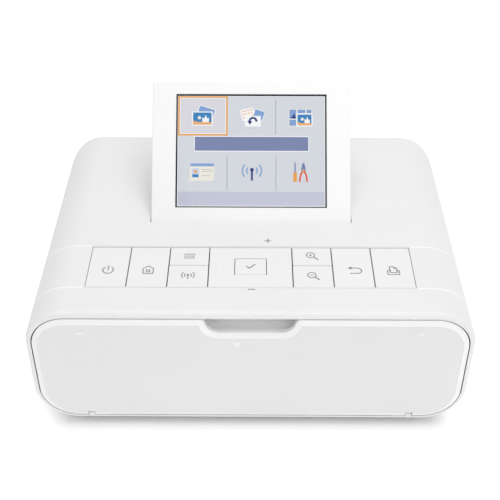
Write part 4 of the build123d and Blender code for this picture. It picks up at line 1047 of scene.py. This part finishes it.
def snapshot(group, layer, centre, size):
    """Tiny view: sky, sand, a pale disc and two pale peaks, inside a white border."""
    half = np.array(size) / 2
    card(group, layer, centre, size, 0, PAPER)
    card(group, layer + 1, centre, (size[0] - 1.0, size[1] - 0.9), 0, SKY)
    (w, h), side, ground = half, half[0] - 0.5, 0.45 - half[1]
    shore = [(-side, ground), (side, ground), (side, -0.55 * h), (0.2 * w, -0.35 * h),
             (-0.3 * w, -0.5 * h), (-side, -0.3 * h)]
    lay(group, layer + 2, plate, SAND, centre + np.array(shore))
    peaks = [(0.02, -0.5), (0.62, -0.5), (0.66, 0.1), (0.48, 0.0), (0.34, 0.52), (0.2, 0.02),
             (0.0, 0.16)]
    lay(group, layer + 3, plate, PAPER, centre + half * peaks)
    lay(group, layer + 3, plate, CREAM, arc(centre + half * (-0.28, 0.12), 0.24 * h, 0, 340, 14))


here = icon_place(0, 0)
card("photos", 2, here + (1.7, 2.2), (7.6, 4.9), -17, PAPER)
card("photos", 3, here + (1.7, 2.2), (7.0, 4.3), -17, SOFT_BLUE)
snapshot("photos", 4, here + (0.0, -0.6), (9.2, 6.4))
print("shapes of the first icon", len(picture["photos"][0]))

# %% Reprint and layout icons
DOT = srgb(246, 166, 112)
here = icon_place(1, 0)
card("reprint", 2, here + (-2.0, 1.5), (5.9, 5.0), 14, PAPER)
dots = turned([(x, y) for x in (-2.0, -0.7, 0.6, 1.9) for y in (1.6, 0.2, -1.2)], 14)
for dot in here + (-2.0, 1.5) + dots:
    lay("reprint", 3, plate, DOT, arc(dot, 0.38, 0, 330, 12))
card("reprint", 3, here + (3.0, 1.2), (4.8, 4.4), -18, PAPER)
card("reprint", 4, here + (3.0, 1.2), (4.3, 3.9), -18, SOFT_BLUE)
card("reprint", 5, here + (0.3, -1.7), (7.0, 4.8), 0, PAPER)
lay("reprint", 6, stroke, NAVY, arc(here + (0.4, -1.7), 1.5, 200, -10, 16), 0.9)
lay("reprint", 6, plate, NAVY, here + np.array([(-2.2, -1.6), (-1.0, -3.3), (0.1, -1.7)]))

here = icon_place(2, 0)
TILES = ((-4.9, -1.9, -0.5, 3.6), (-4.9, -1.9, -3.7, -1.0), (-1.3, 2.2, 2.0, 3.6),
         (2.7, 4.9, 2.0, 3.6))
HILL = np.array([(-4.8, -0.4), (-2.0, -0.4), (-2.3, 0.6), (-2.9, 2.0), (-3.6, 0.4)])
lay("layout", 2, plate, CREAM, here + np.array(box_outline(-5.2, 5.2, -4.0, 3.9)))
for tile in TILES:
    lay("layout", 3, plate, SOFT_BLUE, here + np.array(box_outline(*tile)))
lay("layout", 4, plate, NAVY, here + HILL)
snapshot("layout", 3, here + (1.8, -1.1), (7.2, 5.8))
print("shapes of the next two", len(picture["reprint"][0]), len(picture["layout"][0]))

# %% Card, mast and tools
PALE_BLUE = srgb(196, 212, 236)
here = icon_place(0, 1)
CARD_BOXES = ((2, CREAM, (-5.4, 5.4, -4.0, 3.9)), (3, SOFT_BLUE, (-5.2, 5.3, 2.5, 3.8)),
              (3, PALE_BLUE, (-4.5, -1.2, -2.5, 1.6)), (4, SKY, (-4.2, -1.5, -2.4, -1.1)),
              (3, RULE, (-0.1, 4.7, 1.0, 1.2)), (3, RULE, (-0.1, 4.7, 0.1, 0.3)),
              (3, RULE, (-0.1, 3.9, -1.8, -1.6)))
for layer, tint, sides in CARD_BOXES:
    lay("id_card", layer, plate, tint, here + np.array(box_outline(*sides)))
lay("id_card", 4, plate, SAND, arc(here + (-2.85, 0.1), 0.85, 0, 340, 16))

here = icon_place(1, 1)
lay("mast", 2, plate, NAVY, arc(here + (0.0, 1.0), 0.85, 0, 340, 18))
lay("mast", 2, stroke, NAVY, here + np.array([(0.0, 0.8), (0.0, -3.8)]), 0.9)
for radius, reach in ((2.3, 38), (4.2, 40)):
    for side in (0, 180):
        wave = arc(here + (0.0, 0.6), radius, side - reach, side + reach, 14)
        lay("mast", 2, stroke, SOFT_BLUE, wave, 0.65)

here = icon_place(2, 1)
JAWS = np.array([(0.2, 0.8), (1.3, 0.2), (2.4, 0.8), (1.9, 3.4), (1.3, 4.4), (0.7, 3.4)])
lay("tools", 2, plate, GREY_BLUE, here + np.array(box_outline(-2.7, -2.1, -0.3, 4.3)))
lay("tools", 2, plate, ORANGE, here + np.array(box_outline(-3.2, -1.6, -4.3, -0.1)))
lay("tools", 2, plate, GREY_BLUE, here + JAWS)
for side in (-1, 1):
    handle = np.array([(1.3 + side * 0.3, 0.5), (1.3 + side * 1.2, -1.2), (1.3 + side * 1.7, -4.3)])
    lay("tools", 3, stroke, RED, here + handle, 0.75)
lay("tools", 4, plate, SAND, arc(here + (1.3, 0.8), 0.5, 0, 340, 14))
print("shapes of the lower icons", [len(picture[name][0]) for name in ("id_card", "mast", "tools")])

# %% Build the picture's pieces
for group, (shapes, tints) in picture.items():
    build(f"screen_{group}", shapes, on_display, FINISH["screen_light"], "display_body",
          tints)
print("picture pieces", len(picture))
